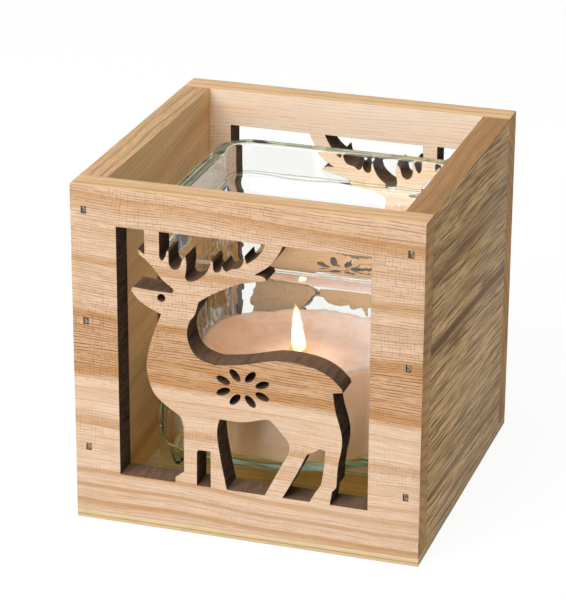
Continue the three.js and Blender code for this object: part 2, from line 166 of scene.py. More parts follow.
class Marks(NamedTuple):
    """Marks that a noise leaves on a surface."""

    lengths: tuple              # mm that a mark is long on each of the three axes
    low: float = 0.0            # level of the noise where a mark starts
    high: float = 1.0           # level where it is full
    detail: float = 2.0
    roughness: float = 0.5
    seed: float = 0.0


# Marks of sawn wood, along the fibres, through the board and across the grain
SWAY = Marks((55.0, 40.0, 26.0), detail=1.0)
VEINS = Marks((90.0, 30.0, 3.5), 0.44, 0.70)
DRIFT = Marks((34.0, 10.0, 5.0), seed=5)
HAIRS = Marks((6.5, 3.0, 0.34), 0.44, 0.68, roughness=0.6, seed=9)
PORES = Marks((1.6, 1.0, 0.34), 0.54, 0.70, detail=1.0, seed=11)
STREAKS = Marks((22.0, 6.0, 0.48), 0.502, 0.60, detail=1.5, seed=21)
HATCHED_PATCHES = Marks((30.0, 30.0, 18.0), 0.34, 0.60, detail=1.0, seed=13)
HATCH_SHAKE = Marks((12.0, 10.0, 6.0), seed=15)
HATCH_BREAKS = Marks((1.1, 4.0, 1.8), 0.44, 0.62, detail=1.0, seed=17)
HATCH_SPACING = 1.05 * MM
PHASE_SHAKE = 14.0
YEAR_SHARE = 0.22

# How far each mark tints sawn wood
BAND_TINT = 0.85
CROWD_TINT = 0.66
YEAR_TINT = 0.28
VEIN_TINT = 0.26
STREAKED_VEIN_TINT = 0.12
HAIR_TINT = 0.30
PORE_TINT = 0.34

# Marks of the sawn ends
RING_SPACING = 3.4 * MM
PITH = (0.0, 0.054, -0.002)
END_BLOTCHES = Marks((20.0, 16.0, 19.0), 0.36, 0.66, seed=3.3)
END_PORES = Marks((0.7, 0.5, 0.5), 0.50, 0.70, roughness=0.6, seed=5.1)
SAW_MARKS = Marks((10.0, 6.0, 0.45), 0.50, 0.72, detail=1.0, seed=8.8)

# Marks of the charred fretwork
CHAR_STREAKS = Marks((1.1, 9.0, 1.1), detail=3.0, roughness=0.6, seed=2.4)
SOOT = Marks((0.45, 0.6, 0.45), roughness=0.6, seed=4.9)
CHAR_CLOUDS = Marks((12.0, 12.0, 12.0), seed=7.7)

# Marks of the base sheet's edge
SHEET_THICKNESS = 2.5 * MM
PLY_WANDER = Marks((12.0, 12.0, 4.0), detail=1.0, seed=1.1)
PLY_SHIFT = 0.3 * MM
PLY_FIBRES = Marks((6.0, 6.0, 0.22), 0.48, 0.74, roughness=0.6, seed=2.2)
PLY_SPECKS = Marks((0.6, 0.6, 0.3), 0.55, 0.75, roughness=0.6, seed=3.4)

# Marks of the brads and of the wood round them
SCRATCHES = Marks((1.6, 1.6, 0.12), roughness=0.6, seed=6.2)
DULL_SPOTS = Marks((0.7, 0.7, 0.7), 0.46, 0.66, seed=9.4)
CRUSHED = Marks((0.6, 0.6, 0.6), 0.35, 0.65, roughness=0.6, seed=3.9)

# Marks of the pressed glass; those of the rim and floor shape its painted glow
RIM_GLOW_PATCHES = Marks((6.0, 6.0, 2.0), 0.30, 0.52, roughness=0.6, seed=5.7)
GLASS_SHIFT = Marks((14.0, 14.0, 10.0), seed=9.1)
FOOT_GLOW_STREAKS = Marks((12.0, 12.0, 1.1), 0.40, 0.70, roughness=0.6, seed=14.3)
BROAD_RIPPLES = Marks((7.5, 7.5, 12.0), seed=12.6)
FINE_RIPPLES = Marks((2.6, 2.6, 3.6), detail=1.0, seed=18.2)

# Marks of the wax and the wick
WAX_STREAKS = Marks((3.0, 3.0, 30.0), 0.42, 0.66, roughness=0.55, seed=4.4)
WAX_CLOUDS = Marks((10.0, 10.0, 8.0), 0.38, 0.66, seed=8.3)
WAX_PITS = Marks((1.6, 1.6, 1.6), seed=2.8)
WICK_ASH = Marks((0.5, 0.5, 0.3), 0.50, 0.72, roughness=0.6, seed=1.9)


def colour(name, description, default):
    """A colour that a user may change."""
    return FloatVectorProperty(
        name=name, description=description, subtype="COLOR", size=3, min=0.0, max=1.0, default=default
    )


def length(name, description, default):
    """A length that a user may change, in metres."""
    return FloatProperty(
        name=name, description=description, subtype="DISTANCE", unit="LENGTH",
        min=0.0, precision=5, default=default,
    )


def power(name, description, default):
    """A lamp's power that a user may change, in watts."""
    return FloatProperty(
        name=name, description=description, subtype="POWER", unit="POWER",
        min=0.0, precision=4, default=default,
    )


def bearing(name, description, degrees):
    """An angle that a user may change."""
    return FloatProperty(
        name=name, description=description, subtype="ANGLE", unit="ROTATION", default=math.radians(degrees)
    )


def amount(name, description, default, high=1.0):
    """A plain number that a user may change."""
    return FloatProperty(name=name, description=description, min=0.0, max=high, default=default)


class LanternBoards(bpy.types.PropertyGroup):
    """Sizes and colours of the wooden box."""

    edge_round: length("Edge round", "Rounding of the boards' outer edges", 0.30 * MM)
    cut_round: length("Cut round", "Rounding of the fretwork's edges", 0.12 * MM)
    edge_wander: length("Edge wander", "How far a sawn edge wanders from straight", 0.14 * MM)
    brad_round: length("Brad round", "Rounding of the brads' edges", 0.14 * MM)
    face_pale: colour("Face, pale", "Pale wood of the front board", (0.838, 0.650, 0.496))
    face_tan: colour("Face, tan", "Growth bands of the front board", (0.560, 0.310, 0.140))
    face_line: colour("Face, line", "Fine grain lines of the two cut boards", (0.290, 0.122, 0.048))
    back_pale: colour("Back, pale", "Pale wood of the back board", (0.940, 0.800, 0.660))
    back_tan: colour("Back, tan", "Growth bands of the back board", (0.860, 0.520, 0.250))
    left_pale: colour("Left, pale", "Pale wood of the left board", (0.985, 0.725, 0.395))
    left_tan: colour("Left, tan", "Growth bands of the left board", (0.690, 0.385, 0.150))
    right_pale: colour("Right, pale", "Pale wood of the right board", (1.000, 0.705, 0.362))
    right_tan: colour("Right, tan", "Growth bands of the right board", (0.165, 0.074, 0.016))
    right_line: colour("Right, line", "Fine grain lines of the right board", (0.070, 0.030, 0.007))
    edge_pale: colour("Edge, pale", "Pale wood of the sawn edges", (0.960, 0.645, 0.355))
    edge_tan: colour("Edge, tan", "Growth bands of the sawn edges", (0.480, 0.280, 0.135))
    edge_line: colour("Edge, line", "Fine grain lines of the sawn edges", (0.200, 0.100, 0.045))
    dim_pale: colour("Right edge, pale", "Pale wood of the right board's edges", (0.530, 0.280, 0.094))
    dim_tan: colour("Right edge, tan", "Growth bands of the right board's edges", (0.360, 0.195, 0.080))
    end_pale: colour("End, pale", "Pale rings of the end grain", (0.700, 0.430, 0.205))
    end_dark: colour("End, dark", "Dark rings of the end grain", (0.245, 0.135, 0.065))
    # Painted light: on char walls that face up, this colour stands in for the next one, and the next one for
    # the black, as light from above would lighten them
    char_lit_top: colour("Char, ash", "Dusty brown char on walls that face up", (0.250, 0.148, 0.090))
    char_light: colour("Char, light", "Brown char where the cut is thin", (0.130, 0.083, 0.056))
    char_dark: colour("Char, dark", "Black char of the fretwork", (0.032, 0.021, 0.015))
    sheet_pale: colour("Sheet, pale", "Pale wood of the base sheet", (0.775, 0.615, 0.390))
    sheet_dark: colour("Sheet, dark", "Inner ply of the base sheet", (0.420, 0.250, 0.110))
    brad_steel: colour("Brad steel", "Steel of the brads", (0.340, 0.290, 0.230))


class LanternCup(bpy.types.PropertyGroup):
    """Sizes and colours of the glass cup."""

    corner: length("Corner", "Radius of the collar's corners", 10.5 * MM)
    wall: length("Wall", "Thickness of the wall", 4.0 * MM)
    step: length("Step", "How far the collar stands out from the body", 2.0 * MM)
    collar: length("Collar", "Height of the collar", 12.0 * MM)
    floor: length("Floor", "Thickness of the cup's floor", 13.0 * MM)
    rim: length("Rim", "Rounding of the rim's two edges", 0.8 * MM)
    foot: length("Foot", "Rounding of the foot", 2.0 * MM)
    sink: length("Sink", "How far the foot presses into the base sheet", 0.03 * MM)
    wave: length("Wave", "Unevenness of the pressed inner wall", 0.50 * MM)
    # Painted light: a glow emitted by the rim's flat top
    rim_glow: colour("Rim glow", "Light that leaves the glass at its rim", (0.125, 0.140, 0.095))
    rim_tint: colour("Rim tint", "Green of the glass along its rim", (0.330, 0.345, 0.225))
    seam_tint: colour("Seam tint", "Grey of the seam under the back wall's collar", (0.380, 0.390, 0.350))
    # Painted reflection: teal streaks emitted by the glass round its floor
    foot_glow: colour("Foot glow", "Light gathered in the glass round its floor", (0.130, 0.210, 0.165))
    foot_tint: colour("Foot tint", "Green of the thick glass round its floor", (0.250, 0.420, 0.360))
    tint: colour("Tint", "Colour of the glass in the mass", (0.690, 0.800, 0.530))
    density: amount("Density", "How strongly the glass is coloured, for each metre", 18.0, 500.0)


class LanternCandle(bpy.types.PropertyGroup):
    """Sizes and colours of the candle."""

    rim_wander: length("Rim wander", "Unevenness of the burnt rim", 0.9 * MM)
    flame_width: length("Flame width", "Width of the flame", 5.2 * MM)
    flame_height: length("Flame height", "Height of the flame", 17.7 * MM)
    flame_power: power("Flame power", "Light of the flame", 0.006)
    tin_round: length("Tin round", "Rounding of the sustainer's edges", 0.10 * MM)
    wax: colour("Wax", "Cream wax", (0.790, 0.670, 0.640))
    # This colour shows the wax's real streaks and also painted shade that darkens the wax towards the left
    wax_streaks_and_shade: colour("Wax, dull", "Streaks in the cream wax", (0.710, 0.440, 0.260))
    # Painted shade: the candle's side gets this darker, more amber wax than its top
    shaded_wax_side: colour("Wax, side", "Wax of the candle's side", (0.640, 0.450, 0.260))
    # Painted light: these glows are emitted by the wax itself in place of the flame's light in and under it;
    # Glow also colours the flame's lamp
    glow: colour("Glow", "Light of the flame in the wax", (1.000, 0.500, 0.260))
    side_glow: colour("Side glow", "Light of the flame that reaches the side", (0.120, 0.048, 0.005))
    high_glow: colour("High glow", "Light of the flame high on the side", (0.460, 0.260, 0.160))
    under_glow: colour("Under glow", "Light of the flame that reaches the underside", (1.000, 0.560, 0.180))
    flame_core: colour("Flame core", "Bright middle of the flame", (1.000, 0.940, 0.820))
    flame_edge: colour("Flame edge", "Yellow edge of the flame", (1.000, 0.640, 0.240))
    flame_foot: colour("Flame foot", "Tip and foot of the flame", (1.000, 0.420, 0.150))
    char: colour("Charred wick", "Burnt end of the wick", (0.030, 0.024, 0.020))
    ash: colour("Ash", "Ash on the burnt end of the wick", (0.220, 0.190, 0.170))
    cotton: colour("Cotton", "Wick below the wax", (0.700, 0.620, 0.500))
    tin: colour("Tin", "Tinned steel of the sustainer", (0.550, 0.540, 0.510))


class LanternStage(bpy.types.PropertyGroup):
    """Floor, light and camera."""

    floor: colour("Floor", "Pale floor", (0.840, 0.790, 0.710))
    key: power("Key", "Power of the key lamp", 16.6)
    top: power("Top", "Power of the overhead lamp", 3.2)
    sky: amount("Sky", "Level of the light from all round", 0.24, 10.0)
    sky_tone: colour("Sky tone", "Colour of the light from all round", (1.000, 0.930, 0.840))
    azimuth: bearing("Azimuth", "Camera's turn to the right of the front", 17.79)
    elevation: bearing("Elevation", "Camera's height above the horizon", 22.06)
    roll: bearing("Roll", "Camera's turn about its own axis", 0.284)
    distance: length("Distance", "Camera's distance from its aim", 0.7958)
    lens: FloatProperty(name="Lens", description="Focal length in millimetres", default=165.9)
    aim: FloatVectorProperty(
        name="Aim", description="Point that the camera looks at", subtype="TRANSLATION", unit="LENGTH",
        default=(-0.0052, 0.0, 0.0525),
    )


class LanternSettings(bpy.types.PropertyGroup):
    """Everything about the lantern that a user may change."""

    boards: PointerProperty(type=LanternBoards)
    cup: PointerProperty(type=LanternCup)
    candle: PointerProperty(type=LanternCandle)
    stage: PointerProperty(type=LanternStage)


def settings():
    """The lantern's settings in this scene."""
    return bpy.context.scene.lantern


# Nodes of the materials


class Nodes:
    """Short calls that add nodes to one node tree and join them."""

    def __init__(self, tree):
        self.tree = tree
        tree.nodes.clear()

    def add(self, kind, inputs=None, **choices):
        """A node with its choices made and its inputs set to values or joined to sockets."""
        made = self.tree.nodes.new(kind)
        for key, value in choices.items():
            setattr(made, key, value)
        for key, value in (inputs or {}).items():
            if isinstance(value, bpy.types.NodeSocket):
                self.tree.links.new(value, made.inputs[key])
            else:
                made.inputs[key].default_value = value
        return made

    def maths(self, operation, *values):
        """Sum of one kind on values and sockets."""
        return self.add("ShaderNodeMath", dict(enumerate(values)), operation=operation).outputs[0]

    def times(self, first, *others):
        """Product of values and sockets."""
        for other in others:
            first = self.maths("MULTIPLY", first, other)
        return first

    def plus(self, base, value, share):
        """Base with a share of the value added to it."""
        return self.maths("MULTIPLY_ADD", value, share, base)

    def between(self, value, low, high):
        """A soft change from 0 to 1 as the value goes from low to high."""
        inputs = {"Value": value, "From Min": low, "From Max": high}
        return self.add("ShaderNodeMapRange", inputs, interpolation_type="SMOOTHSTEP").outputs["Result"]

    def mix(self, share, first, second):
        """Second colour over the first, by share."""
        inputs = {0: share, 6: opaque(first), 7: opaque(second)}
        return self.add("ShaderNodeMix", inputs, data_type="RGBA").outputs[2]

    def ramp(self, share, stops, interpolation="LINEAR"):
        """Colours or plain numbers along a share from 0 to 1."""
        made = self.add("ShaderNodeValToRGB", {"Fac": share})
        made.color_ramp.interpolation = interpolation
        elements = made.color_ramp.elements
        while len(elements) < len(stops):
            elements.new(1.0)
        for element, (place, value) in zip(elements, stops):
            element.position = place
            element.color = opaque(value if hasattr(value, "__len__") else (value, value, value))
        return made.outputs["Color"]

    def place(self):
        """Object coordinates, in metres."""
        return self.add("ShaderNodeTexCoord").outputs["Object"]

    def facing(self):
        """How far the surface faces up, from -1 to 1."""
        return self.split(self.add("ShaderNodeTexCoord").outputs["Normal"])[Z]

    def split(self, vector):
        """The three parts of a vector."""
        return self.add("ShaderNodeSeparateXYZ", {"Vector": vector}).outputs

    def joined(self, first, second, third):
        """A vector of three parts."""
        return self.add("ShaderNodeCombineXYZ", {0: first, 1: second, 2: third}).outputs[0]

    def distance(self, first, second):
        """Distance between two points, in metres."""
        return self.add("ShaderNodeVectorMath", {0: first, 1: second}, operation="DISTANCE").outputs["Value"]

    def noise(self, vector, marks, seed=0.0):
        """The noise that leaves such marks."""
        shift = marks.seed + seed
        scale = tuple(1.0 / (size * MM) for size in marks.lengths)
        inputs = {"Vector": vector, "Location": (shift, shift, shift), "Scale": scale}
        mapped = self.add("ShaderNodeMapping", inputs).outputs[0]
        inputs = {"Vector": mapped, "Scale": 1.0, "Detail": marks.detail, "Roughness": marks.roughness}
        return self.add("ShaderNodeTexNoise", inputs).outputs["Fac"]

    def marks(self, vector, marks, seed=0.0):
        """Soft-edged marks, 1 where they are full."""
        return self.between(self.noise(vector, marks, seed), marks.low, marks.high)

    def phase(self, value, spacing, shake):
        """Angle that turns once for each spacing along a value, shaken by a noise."""
        return self.plus(self.times(shake, PHASE_SHAKE), value, FULL_TURN / spacing)

    def crests(self, phase, low, high):
        """Soft-edged stripes along the crests of a phase."""
        return self.between(self.maths("SINE", phase), low, high)

    def bump(self, height, strength, distance):
        """A normal from a height between 0 and 1."""
        inputs = {"Height": height, "Strength": strength, "Distance": distance}
        return self.add("ShaderNodeBump", inputs).outputs[0]

    def finish(self, shader, volume=None):
        """The material's output."""
        made = self.add("ShaderNodeOutputMaterial", {"Surface": shader})
        if volume is not None:
            self.tree.links.new(volume, made.inputs["Volume"])

    def principled(self, inputs):
        """The main shader."""
        return self.add("ShaderNodeBsdfPrincipled", inputs).outputs[0]


def opaque(value):
    """A colour with full alpha, or a socket as it is."""
    if isinstance(value, bpy.types.NodeSocket):
        return value
    return (value[0], value[1], value[2], 1.0)


def new_material(name):
    """An empty node material."""
    material = bpy.data.materials.new(name)
    material.use_nodes = True
    return material, Nodes(material.node_tree)


def band_stops(bands, lowest):
    """Ramp stops, over 100 mm from the lowest, of a list of broad growth bands."""
    stops = []
    for middle, half, depth in bands:
        share = (middle - lowest) / 100
        reach = half / 100
        stops += [(share - reach, 0.0), (share, depth), (share + reach, 0.0)]
    return stops


def hatching(nodes, raw, along, grain):
    """Faint broken ticks across the grain, in patches."""
    patches = nodes.marks(raw, HATCHED_PATCHES, grain.seed)
    beat = nodes.phase(along, HATCH_SPACING, nodes.noise(raw, HATCH_SHAKE, grain.seed))
    ticks = nodes.crests(beat, 0.40, 1.0)
    return nodes.times(ticks, nodes.marks(raw, HATCH_BREAKS, grain.seed), patches, grain.hatched)


def sawn_wood(name, grain, pale, tan, line):
    """Bare sawn wood with growth bands, fine broken grain lines, pores and faint marks across the grain."""
    material, nodes = new_material(name)
    axes = nodes.split(nodes.place())
    along = axes[grain.along]
    across = axes[grain.across]
    through = axes[X + Y + Z - grain.along - grain.across]
    raw = nodes.joined(along, through, across)
    level = nodes.plus(across, nodes.noise(raw, SWAY, grain.seed), grain.sway * MM)
    level = nodes.plus(level, along, -grain.slope)
    level = nodes.maths("SUBTRACT", level, grain.sway * MM / 2)
    fibre = nodes.joined(along, through, level)

    lowest = 0.0 if grain.across == Z else -50.0
    share = nodes.maths("SUBTRACT", nodes.maths("DIVIDE", level, 100 * MM), lowest / 100)
    bands = nodes.ramp(share, band_stops(grain.bands, lowest), "EASE")
    crowd = nodes.ramp(share, [(height / 100, strength) for height, strength in grain.crowding])
    veins = nodes.marks(fibre, VEINS, grain.seed)
    streaks = nodes.times(nodes.marks(fibre, STREAKS, grain.seed), grain.streaked)
    hairs = nodes.marks(fibre, HAIRS, grain.seed)
    pores = nodes.marks(fibre, PORES, grain.seed)
    hatch = nodes.times(hatching(nodes, raw, along, grain), crowd)

    phase = nodes.phase(level, grain.spacing * MM, nodes.noise(fibre, DRIFT, grain.seed))
    years = nodes.crests(nodes.times(phase, YEAR_SHARE), 0.78, 1.0)
    dashes = Marks((grain.dash, 4.0, grain.spacing * 1.1), 0.34, 0.56, roughness=0.6, seed=7)
    lines = nodes.times(nodes.crests(phase, 0.34, 0.94), nodes.marks(fibre, dashes, grain.seed))
    lines = nodes.times(lines, crowd, grain.lined)

    tinted = nodes.times(veins, VEIN_TINT + STREAKED_VEIN_TINT * grain.streaked)
    tinted = nodes.plus(tinted, years, YEAR_TINT * grain.lined)
    tinted = nodes.plus(tinted, bands, BAND_TINT)
    tinted = nodes.plus(tinted, nodes.maths("POWER", crowd, 2.0), CROWD_TINT * grain.lined)
    body = nodes.mix(nodes.maths("MINIMUM", tinted, 1.0), pale, tan)
    body = nodes.mix(streaks, body, tan)
    body = nodes.mix(nodes.times(hairs, HAIR_TINT * (grain.lined + grain.streaked)), body, tan)
    body = nodes.mix(lines, body, line)
    body = nodes.mix(hatch, body, line)
    body = nodes.mix(nodes.times(pores, crowd, PORE_TINT * grain.lined), body, line)

    relief = nodes.plus(0.8, lines, -0.6)
    relief = nodes.plus(relief, pores, -0.35)
    relief = nodes.plus(relief, hatch, -0.45)
    nodes.finish(nodes.principled({
        "Base Color": body,
        "Roughness": nodes.plus(0.62, lines, 0.16),
        "Specular IOR Level": 0.25,
        "Normal": nodes.bump(relief, 0.38, 0.12 * MM),
    }))
    return material


def end_grain(name, pale, dark):
    """Sawn ends of the boards, with growth rings round a pith near the lower edge."""
    material, nodes = new_material(name)
    place = nodes.place()
    centred = nodes.add("ShaderNodeMapping", {"Vector": place, "Location": PITH}).outputs[0]
    inputs = {
        "Vector": centred,
        "Scale": FULL_TURN / (20 * RING_SPACING),
        "Distortion": 3.0,
        "Detail": 2.0,
        "Detail Scale": 0.8,
    }
    choices = {"wave_type": "RINGS", "rings_direction": "X", "wave_profile": "SAW"}
    rings = nodes.add("ShaderNodeTexWave", inputs, **choices).outputs["Fac"]
    rings = nodes.ramp(rings, ((0.0, 0.9), (0.12, 0.25), (0.55, 0.10), (0.88, 0.65), (1.0, 0.9)))
    pores = nodes.marks(place, END_PORES)
    saw = nodes.marks(place, SAW_MARKS)
    depth = nodes.times(nodes.marks(place, END_BLOTCHES), 0.35)
    depth = nodes.plus(depth, rings, 0.45)
    depth = nodes.plus(depth, pores, 0.22)
    depth = nodes.plus(depth, saw, 0.20)
    relief = nodes.plus(nodes.plus(1.0, saw, -0.4), pores, -0.5)
    nodes.finish(nodes.principled({
        "Base Color": nodes.mix(nodes.maths("MINIMUM", depth, 1.0), pale, dark),
        "Roughness": 0.78,
        "Specular IOR Level": 0.22,
        "Normal": nodes.bump(relief, 0.6, 0.14 * MM),
    }))
    return material


def charred_cut(name, ash, light, dark):
    """Walls of the fretwork, burnt dark and streaked along the cut, with painted light that makes the walls
    that face up lighter.
    """
    material, nodes = new_material(name)
    place = nodes.place()
    burnt = nodes.times(nodes.noise(place, CHAR_STREAKS), 0.55)
    burnt = nodes.plus(burnt, nodes.noise(place, SOOT), 0.45)
    burnt = nodes.plus(nodes.maths("SUBTRACT", burnt, 0.20), nodes.noise(place, CHAR_CLOUDS), 0.40)
    # Painted light: walls that face up get lighter char, as light from above would give them
    up = nodes.between(nodes.facing(), 0.15, 0.85)
    thin = nodes.mix(up, light, ash)
    full = nodes.mix(up, dark, light)
    nodes.finish(nodes.principled({
        "Base Color": nodes.mix(nodes.between(burnt, 0.34, 0.68), thin, full),
        "Roughness": 0.90,
        "Specular IOR Level": 0.10,
        "Normal": nodes.bump(burnt, 0.6, 0.12 * MM),
    }))
    return material


def ply_edge(name, pale, dark):
    """Edge of the thin base sheet: two pale plies with a darker one between."""
    material, nodes = new_material(name)
    place = nodes.place()
    height = nodes.maths("SUBTRACT", nodes.split(place)[Z], PLY_SHIFT / 2)
    level = nodes.plus(height, nodes.noise(place, PLY_WANDER), PLY_SHIFT)
    plies = nodes.ramp(nodes.maths("DIVIDE", level, SHEET_THICKNESS), (
        (0.0, 0.60), (0.07, 0.18), (0.30, 0.10), (0.36, 0.70),
        (0.45, 0.70), (0.52, 0.12), (0.90, 0.0), (1.0, 0.30),
    ))
    fibres = nodes.marks(place, PLY_FIBRES)
    depth = nodes.plus(plies, fibres, 0.22)
    depth = nodes.plus(depth, nodes.marks(place, PLY_SPECKS), 0.16)
    nodes.finish(nodes.principled({
        "Base Color": nodes.mix(nodes.maths("MINIMUM", depth, 1.0), pale, dark),
        "Roughness": 0.72,
        "Specular IOR Level": 0.28,
        "Normal": nodes.bump(nodes.maths("SUBTRACT", 1.0, fibres), 0.5, 0.10 * MM),
    }))
    return material


def shaded(tone, share):
    """A darker tone of a colour."""
    return [part * share for part in tone]


def dull_metal(name, tone, rough):
    """Drawn metal with fine scratches and dull spots."""
    material, nodes = new_material(name)
    place = nodes.place()
    spots = nodes.marks(place, DULL_SPOTS)
    nodes.finish(nodes.principled({
        "Base Color": nodes.mix(spots, tone, shaded(tone, 0.45)),
        "Metallic": 1.0,
        "Roughness": nodes.plus(rough, spots, 0.22),
        "Normal": nodes.bump(nodes.noise(place, SCRATCHES), 0.25, 0.03 * MM),
    }))
    return material


def crushed_wood(name, tone):
    """Crushed wood round a sunk brad."""
    material, nodes = new_material(name)
    crushed = nodes.noise(nodes.place(), CRUSHED)
    nodes.finish(nodes.principled({
        "Base Color": nodes.mix(nodes.between(crushed, CRUSHED.low, CRUSHED.high), tone, shaded(tone, 0.55)),
        "Roughness": 0.85,
        "Normal": nodes.bump(crushed, 0.5, 0.10 * MM),
    }))
    return material


def floor_band(nodes, place, shift, floor, low):
    """The bent band of thick glass just over the cup's floor, which takes the painted reflection and the
    green tint, left out at its shaded front left corner.
    """
    axes = nodes.split(place)
    aside = nodes.maths("POWER", nodes.maths("ADD", axes[X], 4.0 * MM), 2.0)
    level = nodes.plus(nodes.plus(axes[Z], shift, 3.0 * MM), aside, -4.2)
    low_edge = nodes.between(level, floor + 0.4 * MM, floor + 1.0 * MM)
    high_edge = nodes.between(level, floor + 3.2 * MM, floor + 2.5 * MM)
    upright = nodes.between(nodes.maths("ABSOLUTE", nodes.facing()), 0.60, 0.30)
    apart = nodes.distance(place, (low.x, low.y, floor))
    return nodes.times(low_edge, high_edge, upright, nodes.between(apart, 13.0 * MM, 21.0 * MM))


def back_seam(nodes, place, shift, seam_height):
    """The thin uneven seam on the back wall, under its collar."""
    axes = nodes.split(place)
    height = nodes.plus(nodes.maths("SUBTRACT", axes[Z], 1.2 * MM), shift, 2.4 * MM)
    gap = nodes.maths("ABSOLUTE", nodes.maths("SUBTRACT", height, seam_height))
    behind = nodes.between(axes[Y], 10.0 * MM, 25.0 * MM)
    return nodes.times(behind, nodes.between(gap, 0.32 * MM, 0.10 * MM))


def wall_ripple(nodes, place, left, rim):
    """Height of the crinkles below the collar, stronger to the back and weaker by the left wall."""
    axes = nodes.split(place)
    to_back = nodes.plus(0.05, nodes.between(axes[Y], -28.0 * MM, 20.0 * MM), 0.95)
    below = nodes.between(axes[Z], rim - 10.0 * MM, rim - 17.0 * MM)
    from_left = nodes.plus(0.30, nodes.between(axes[X], left + 5.0 * MM, left + 12.0 * MM), 0.70)
    ripple = nodes.plus(nodes.noise(place, BROAD_RIPPLES), nodes.noise(place, FINE_RIPPLES), 0.60)
    return nodes.times(ripple, to_back, below, from_left)


def pressed_glass(name, cup, low, high):
    """Clear pressed glass, a little green, with painted light emitted at its rim and painted teal glints
    round its floor.
    """
    material, nodes = new_material(name)
    place = nodes.place()
    rim = high.z
    seam_height = rim - cup.collar + 2.4 * MM
    shift = nodes.noise(place, GLASS_SHIFT)
    flat_rim = nodes.between(nodes.split(place)[Z], rim - 0.50 * MM, rim - 0.10 * MM)
    thick = floor_band(nodes, place, shift, low.z + cup.floor, low)
    # Painted reflection: teal streaks glow in the band over the floor
    glow = nodes.mix(nodes.times(thick, nodes.marks(place, FOOT_GLOW_STREAKS)), BLACK, cup.foot_glow)
    # Painted glow on the rim's flat top, in patches
    glow = nodes.mix(nodes.times(flat_rim, nodes.marks(place, RIM_GLOW_PATCHES)), glow, cup.rim_glow)
    clear = nodes.mix(back_seam(nodes, place, shift, seam_height), WHITE, cup.seam_tint)
    glass = nodes.principled({
        "Base Color": nodes.mix(flat_rim, nodes.mix(thick, clear, cup.foot_tint), cup.rim_tint),
        "Roughness": 0.012,
        "IOR": 1.5,
        "Transmission Weight": 1.0,
        "Emission Color": glow,
        "Emission Strength": 1.0,
        "Normal": nodes.bump(wall_ripple(nodes, place, low.x, rim), 1.0, 0.90 * MM),
    })
    lamps = nodes.add("ShaderNodeBsdfTransparent", {"Color": (0.960, 0.970, 0.955, 1.0)}).outputs[0]
    shadow = nodes.add("ShaderNodeLightPath").outputs["Is Shadow Ray"]
    shader = nodes.add("ShaderNodeMixShader", {0: shadow, 1: glass, 2: lamps}).outputs[0]
    absorb = nodes.add("ShaderNodeVolumeAbsorption", {"Color": opaque(cup.tint), "Density": cup.density})
    nodes.finish(shader, absorb.outputs[0])
    return material


def candle_wax(name, candle, flame_foot):
    """Cream wax, streaked down its side, with painted shade on its side and towards the left, and a painted
    glow of the flame round the flame, up its side and on its underside.
    """
    material, nodes = new_material(name)
    place = nodes.place()
    axes = nodes.split(place)
    facing = nodes.facing()
    side = nodes.between(nodes.maths("ABSOLUTE", facing), 0.62, 0.30)
    under = nodes.between(facing, -0.50, -0.80)

    cloud = nodes.marks(place, WAX_CLOUDS)
    # Painted shade and sheen: the wax is darker and more amber towards the left and lighter towards the right
    shade_to_left = nodes.between(axes[X], 14.0 * MM, -26.0 * MM)
    dull = nodes.plus(nodes.times(cloud, 0.25), nodes.marks(place, WAX_STREAKS), 0.30)
    dull = nodes.plus(dull, shade_to_left, 0.60)
    body = nodes.mix(nodes.maths("MINIMUM", dull, 1.0), candle.wax, candle.wax_streaks_and_shade)
    # Painted shade: the side takes the darker side wax
    body = nodes.mix(nodes.times(side, 0.70), body, candle.shaded_wax_side)

    # Painted glow of the flame, strongest near the flame's foot
    glow_reach = 46.0 * MM
    away = nodes.maths("DIVIDE", nodes.distance(place, flame_foot), glow_reach)
    shine = nodes.ramp(away, (
        (0.0, 0.21), (0.10, 0.12), (0.26, 0.064), (0.50, 0.029), (0.72, 0.011), (1.0, 0.0),
    ), "EASE")
    rising = nodes.between(axes[Z], 17.0 * MM, 42.0 * MM)
    # Painted glow up the side, stronger to the right and higher up
    thin = nodes.between(axes[X], -4.0 * MM, 22.0 * MM)
    right_glow_share = nodes.times(thin, nodes.plus(0.28, rising, 0.72))
    lit = nodes.mix(shine, BLACK, candle.glow)
    lit = nodes.mix(side, lit, nodes.mix(right_glow_share, candle.side_glow, candle.high_glow))
    # Painted glow on the underside, which lights the base sheet below
    lit = nodes.mix(under, lit, candle.under_glow)
    nodes.finish(nodes.principled({
        "Base Color": body,
        "Roughness": nodes.plus(0.36, cloud, 0.15),
        "Specular IOR Level": 0.40,
        "Subsurface Weight": 0.55,
        "Subsurface Radius": (1.0, 0.62, 0.38),
        "Subsurface Scale": 4.0 * MM,
        "Emission Color": lit,
        "Emission Strength": 0.70,
        "Normal": nodes.bump(nodes.noise(place, WAX_PITS), 0.22, 0.16 * MM),
    }))
    return material


def burnt_cotton(name, candle, wax_top):
    """Braided wick, charred above the wax and pale below it."""
    material, nodes = new_material(name)
    place = nodes.place()
    burnt = nodes.between(nodes.split(place)[Z], wax_top - 0.5 * MM, wax_top + 1.0 * MM)
    ash = nodes.marks(place, WICK_ASH)
    char = nodes.mix(nodes.times(ash, 0.35), candle.char, candle.ash)
    nodes.finish(nodes.principled({
        "Base Color": nodes.mix(burnt, candle.cotton, char),
        "Roughness": 0.9,
        "Normal": nodes.bump(ash, 0.5, 0.06 * MM),
    }))
    return material


